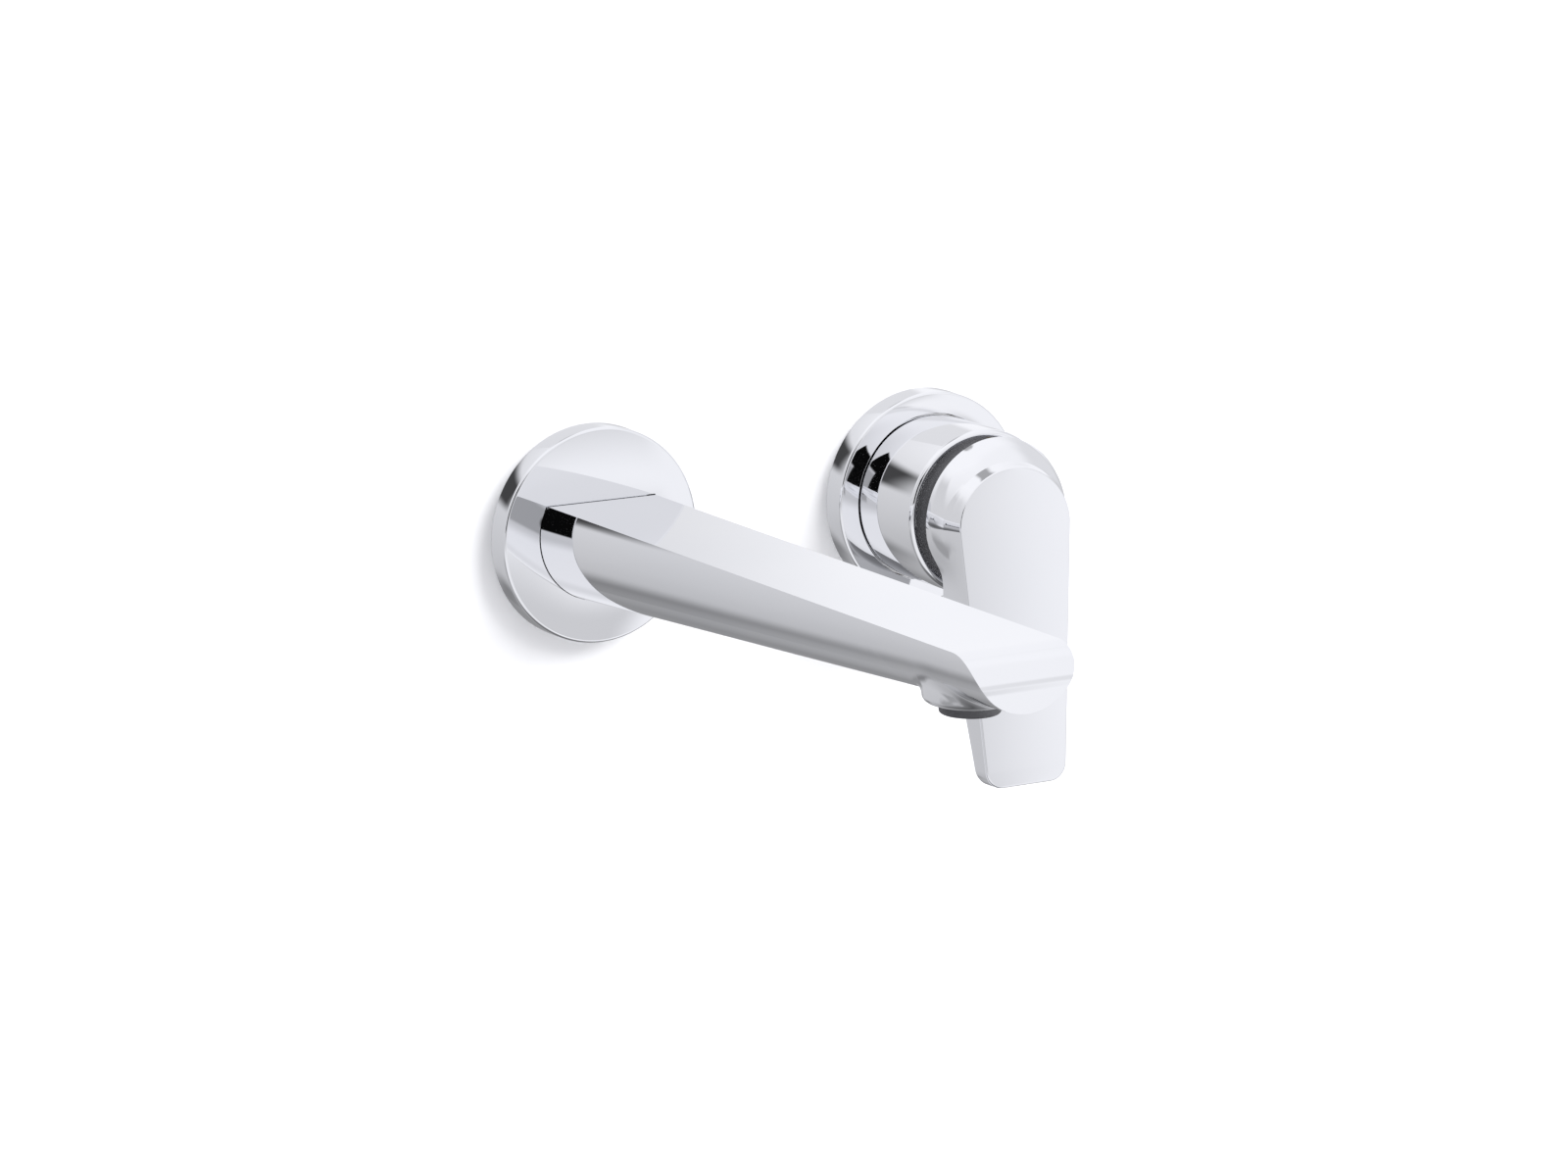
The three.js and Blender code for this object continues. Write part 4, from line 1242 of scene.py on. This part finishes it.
def stem(steps=14):
    """Square stem with softened corners, a neck and the ball that pushes the discs."""
    bar = square_bar("stem", STEM_HALF, -50, PIVOT_Y + 4)
    soften(bar, 0.6)
    neck = rod("neck", 2.2, PIVOT_Y + 3, BALL_Y, centre=HANDLE_AXIS, sides=48)
    profile = [(0, BALL_Y - BALL_RADIUS, 0)]
    for i in range(1, steps):
        turn = math.pi * i / steps
        profile.append((BALL_RADIUS * math.sin(turn), BALL_Y - BALL_RADIUS * math.cos(turn), 0))
    profile.append((0, BALL_Y + BALL_RADIUS, 0))
    join(bar, neck, disc("ball", profile, centre=HANDLE_AXIS, sides=48), sharp=40)
    cut(bar, rod("hole", PIN_HOLE, -10, 10, "x", PIVOT_AXIS, 32))
    place(bar, "handle", "stainless_steel", "cartridge_stem")


def bush():
    """Square plastic sleeve between the stem and the lever's hub."""
    tube = square_bar("stem_bush", 5.3, -51.0, -41.3)
    soften(tube, 0.5)
    cut(tube, square_bar("bore", 4.0, -52.0, -40.3), rod("hole", 2.7, 0, 10, "x", SCREW_AXIS, 32))
    place(tube, "handle", "grey_plastic", "handle_bush")


# ------------------------------------------------------------------ in-wall castings and bracket
def valve_casting():
    """Cast body: barrel, lug and two inlets melt together, then everything is machined."""
    cross = (HANDLE_X, CROSS_Y, CROSS_Z)
    feet = [(HANDLE_X + side * INLET_X, CROSS_Y, 0) for side in (-1, 1)]
    body = disc("valve", [
        (0, -13.6, 0),
        (20.1, -13.6, 0),
        (20.1, 3.3, 0),
        (23.7, 3.3, 0),
        (23.7, VALVE_BACK - GAP, 0),
        (0, VALVE_BACK - GAP, 0),
    ], centre=HANDLE_AXIS, sides=64)
    rises = [rod("rise", 12.5, INLET_BOTTOM + 4, -8, "z", foot) for foot in feet]
    join(body, rod("lug", 11, -37.7, 0, "x", cross), *rises)
    cast(body)
    for foot in feet:
        join(body, prism("hexagon", 6, 15, INLET_BOTTOM, INLET_BOTTOM + 12, "z", foot, math.pi / 2))
    below = INLET_BOTTOM - 2
    tools = [
        rod("bore", 17.8, -20, 10, centre=HANDLE_AXIS),
        rod("mouth", 19, -20, -6, centre=HANDLE_AXIS),
        rod("gallery", GALLERY_RADIUS, -45, 3, "x", cross, 48),
        rod("tube_seat", TUBE_HOLE, -45, -26, "x", cross),
        *port_holes(PORT_RADIUS, 9, CROSS_Y),
    ]
    for side, foot in zip((-1, 1), feet):
        tools.append(rod("socket", 10.2, below, INLET_BOTTOM + 14, "z", foot))
        tools.append(rod("supply", 6, below, PORT_Z, "z", foot, 48))
        start, end = side * 3, side * (INLET_X + 2)
        tools.append(rod("gallery", 4.2, start, end, "x", (HANDLE_X, CROSS_Y, PORT_Z), 48))
    for z in VALVE_SCREW_ZS:
        tools.append(rod("tapping", SCREW_HOLE, 28, 40, centre=(HANDLE_X, 0, z), sides=32))
    cut(body, *tools, sharp=40)
    place(body, "root", "cast_brass", "valve_body")


def elbow_casting():
    """Cast elbow that turns the water from the tube into the spout's nipple."""
    cross = (0, CROSS_Y, CROSS_Z)
    body = rod("elbow", 16.7, 4.3, VALVE_BACK - GAP, centre=NIPPLE_AXIS)
    join(body, rod("lug", 11, 0, 31.7, "x", cross))
    cast(body)
    tools = [
        rod("socket", 9.5, 0, 16.5, centre=NIPPLE_AXIS),
        rod("chamber", 8, 16, 27.5, centre=NIPPLE_AXIS),
        rod("gallery", GALLERY_RADIUS, 0, 40, "x", cross, 48),
        rod("tube_seat", TUBE_HOLE, 22, 40, "x", cross),
    ]
    for x in ELBOW_SCREW_XS:
        tools.append(rod("tapping", SCREW_HOLE, 29.5, 40, centre=(x, 0, NIPPLE_Z), sides=32))
    cut(body, *tools, sharp=40)
    place(body, "root", "cast_brass", "spout_elbow")


def rounded_slab(name, low, high, corner, start, end):
    """A flat plate in X and Z with rounded corners, between two depths."""
    (x0, z0), (x1, z1) = low, high
    outline = []
    corners = ((x1, z1, 0), (x0, z1, 1), (x0, z0, 2), (x1, z0, 3))
    for x, z, quarter in corners:
        cx = x - corner if x == x1 else x + corner
        cz = z - corner if z == z1 else z + corner
        for i in range(9):
            turn = math.pi / 2 * (quarter + i / 8)
            outline.append((cx + corner * math.cos(turn), cz + corner * math.sin(turn)))
    return loft(name, [[(x, y, z) for x, z in outline] for y in (start, end)])


def bracket():
    """Zinc plated plate with its window, slots and screw holes, edges softened by blanking."""
    left, right = -42, HANDLE_X + 42
    front, back = BRACKET_FRONT - 1, BRACKET_BACK + 1
    plate = rounded_slab("bracket", (left, -26), (right, 26), 4, BRACKET_FRONT, BRACKET_BACK)
    tools = [rounded_slab("window", (30, -12), (80, 12), 3, front, back)]
    for x in (left + 9, right - 9):
        for z in (-16, 16):
            tools.append(rounded_slab("slot", (x - 2.6, z - 6), (x + 2.6, z + 6), 2.59, front, back))
    holes = [(x, 0, NIPPLE_Z) for x in ELBOW_SCREW_XS] + [(HANDLE_X, 0, z) for z in VALVE_SCREW_ZS]
    tools += [rod("hole", SCREW_HOLE, front, back, centre=hole, sides=48) for hole in holes]
    cut(plate, *tools)
    soften(plate, 0.3, 2, 60)
    place(plate, "root", "zinc_steel", "mounting_bracket")


PIECES = (
    spout_body, spout_plate, handle_plate, handle_sleeve, cartridge_cover, handle_lever,
    aerator_housing, aerator_insert, seals, spout_nipple, sleeve_retainer, crossover,
    cartridge_nut, screws_and_pin, cartridge_housing, cartridge_base, ceramic_discs, lever_guide,
    stem, bush, valve_casting, elbow_casting, bracket,
)
for build_piece in PIECES:
    build_piece()


# ------------------------------------------------------------------ carried-over CAD nodes
def finish_cad_nodes():
    slots = {row["node"]: row["material_slot"] for row in frame["record"]["subparts"]}
    for name, obj in frame["nodes"].items():
        if obj.hide_render:
            continue
        obj.data.materials.clear()
        obj.data.materials.append(MATERIALS[slots[name]])


finish_cad_nodes()


# ------------------------------------------------------------------ studio
def stage_material(name, colour, one_sided):
    """A matte paint; a one-sided one is clear from behind."""
    material = bpy.data.materials.new(name)
    material.use_nodes = True
    graph = Nodes(material.node_tree)
    graph.tree.nodes.clear()
    surface = graph.node("ShaderNodeBsdfDiffuse", {"Color": (*colour, 1)}).outputs[0]
    if one_sided:
        behind = graph.node("ShaderNodeNewGeometry").outputs["Backfacing"]
        clear = graph.node("ShaderNodeBsdfTransparent").outputs[0]
        surface = graph.node("ShaderNodeMixShader", {0: behind, 1: surface, 2: clear}).outputs[0]
    graph.node("ShaderNodeOutputMaterial", {0: surface})
    return material


def stage_plane(name, corners, material):
    mesh = bpy.data.meshes.new(name)
    mesh.from_pydata([Vector(c) for c in corners], [], [tuple(range(len(corners)))])
    mesh.materials.append(material)
    plane = add_object(name, mesh)
    plane.visible_glossy = False
    plane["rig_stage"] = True


def add_stage():
    wall = stage_material("wall_paint", (0.93, 0.93, 0.935), one_sided=True)
    stage_plane("wall", [(-3, 0, -0.6), (3, 0, -0.6), (3, 0, 2.5), (-3, 0, 2.5)], wall)
    pale = stage_material("pale_floor", (0.86, 0.86, 0.87), one_sided=False)
    stage_plane("floor", [(-4, -4, -0.6), (4, -4, -0.6), (4, 4, -0.6), (-4, 4, -0.6)], pale)


def add_area(name, location, aim, size, power):
    data = bpy.data.lights.new(name, "AREA")
    data.shape = "SQUARE"
    data.size = size
    data.energy = power
    light = add_object(name, data)
    light.visible_glossy = False
    look_at(light, location, aim)


def cool(level):
    """A faintly blue white of the given brightness."""
    return (level * 0.985, level * 0.99, level * 1.025, 1)


class Studio(Nodes):
    """The studio as the chrome sees it: cards of light given by direction, in degrees.

    Azimuth 0 is straight out from the wall and +90 is to its right; elevation 0 is level.
    """

    def __init__(self):
        world = bpy.data.worlds.new("studio")
        bpy.context.scene.world = world
        world.use_nodes = True
        super().__init__(world.node_tree)
        coords = self.node("ShaderNodeTexCoord").outputs["Generated"]
        x, y, z = self.node("ShaderNodeSeparateXYZ", {0: coords}).outputs
        turn = self.math("ARCTAN2", x, self.math("MULTIPLY", y, -1))
        self.azimuth = self.math("MULTIPLY", turn, 180 / math.pi)
        self.elevation = self.math("MULTIPLY", self.math("ARCSINE", z), 180 / math.pi)

    def math(self, operation, *values):
        return self.node("ShaderNodeMath", enumerate(values), operation=operation).outputs[0]

    def step(self, value, edge, soft):
        links = {"Value": value, "From Min": edge - soft, "From Max": edge + soft}
        node = self.node("ShaderNodeMapRange", links, interpolation_type="SMOOTHSTEP")
        return node.outputs["Result"]

    def band(self, value, low, high, soft):
        below_high = self.math("SUBTRACT", 1, self.step(value, high, soft))
        return self.math("MULTIPLY", self.step(value, low, soft), below_high)

    def sky(self, *stops):
        """The plain surroundings, from straight down to straight up."""
        share = self.math("MULTIPLY_ADD", self.elevation, 1 / 180, 0.5)
        ramp = self.node("ShaderNodeValToRGB", {0: share})
        elements = ramp.color_ramp.elements
        elements.remove(elements[1])
        elements[0].position = 0
        elements[0].color = cool(stops[0][1])
        for elevation, level in stops[1:]:
            elements.new(elevation / 180 + 0.5).color = cool(level)
        self.colour = ramp.outputs["Color"]

    def blend(self, mask, level):
        links = {"Factor": mask, "A": self.colour, "B": cool(level)}
        self.colour = self.node("ShaderNodeMix", links, data_type="RGBA").outputs["Result"]

    def card(self, level, azimuth, elevation, soft):
        """A card of light or shade between two azimuths and two elevations, with soft edges."""
        across = self.band(self.azimuth, *azimuth, soft[0])
        self.blend(self.math("MULTIPLY", across, self.band(self.elevation, *elevation, soft[1])), level)

    def finish(self, backdrop):
        """The camera sees an even pale backdrop behind everything."""
        self.blend(self.node("ShaderNodeLightPath").outputs["Is Camera Ray"], backdrop)
        self.feed(self.tree.nodes["Background"].inputs["Color"], self.colour)


def add_world():
    studio = Studio()
    studio.sky((-90, 0.10), (-60, 0.22), (-45, 0.46), (-15, 0.62),
               (5, 0.69), (20, 0.74), (42, 0.94), (60, 1.02))
    # bright fronts and sides
    studio.card(0.98, (8, 70), (-55, 60), (14, 12))
    studio.card(0.80, (74, 116), (-10, 42), (10, 10))
    studio.card(0.92, (-60, 6), (-60, -13), (12, 5))
    studio.card(0.69, (-104, -64), (-4, 46), (5, 8))
    studio.card(0.36, (-112, -80), (-48, -22), (6, 5))
    # shading across the flat faces
    studio.card(0.84, (18, 44), (7, 17), (4, 3))
    studio.card(0.72, (18, 31.9), (-6.6, 6), (1.1, 3))
    studio.card(0.66, (20, 31.0), (-22, -12.6), (1.5, 3))
    # behind, past the wall
    studio.card(1.00, (122, 150.6), (4, 60), (3, 5))
    studio.card(0.80, (150.6, 190), (4, 60), (2, 5))
    studio.card(0.29, (138, 190), (-36, -17), (8, 6))
    studio.card(0.24, (-190, -162), (-36, -25), (7, 5))
    studio.card(0.06, (-190, -143), (9.5, 25), (6, 3))
    studio.card(0.42, (150, 190), (62, 84), (10, 4))
    studio.card(0.42, (-190, -150), (62, 84), (10, 4))
    # grey and black cards beside the camera
    studio.card(0.40, (-28, -7), (-8, 13), (0.5, 1.5))
    studio.card(0.003, (-52, -28), (-3, 29), (0.4, 0.8))
    studio.card(0.003, (-29, -17), (14, 29), (0.4, 0.8))
    studio.finish(0.97)


def soften_studio(in_wall=0.004):
    """Keeps what reaches in_wall metres into the wall out of the chrome.

    The long parts cast no shadow, because they would shade the wall.
    """
    for obj in bpy.data.objects:
        if obj.type != "MESH" or obj.get("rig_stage"):
            continue
        if max(v.co.y for v in obj.data.vertices) > in_wall:
            obj.visible_glossy = False
    for name in ("spout", "lever", "handle_tube"):
        obj = bpy.data.objects[name]
        obj.visible_shadow = False
        obj.visible_diffuse = False


add_stage()
add_world()
soften_studio()
add_area("key", (0.75, -0.75, 0.75), (0.05, 0, 0), 0.8, 17)
bpy.context.scene.view_settings.view_transform = "Standard"
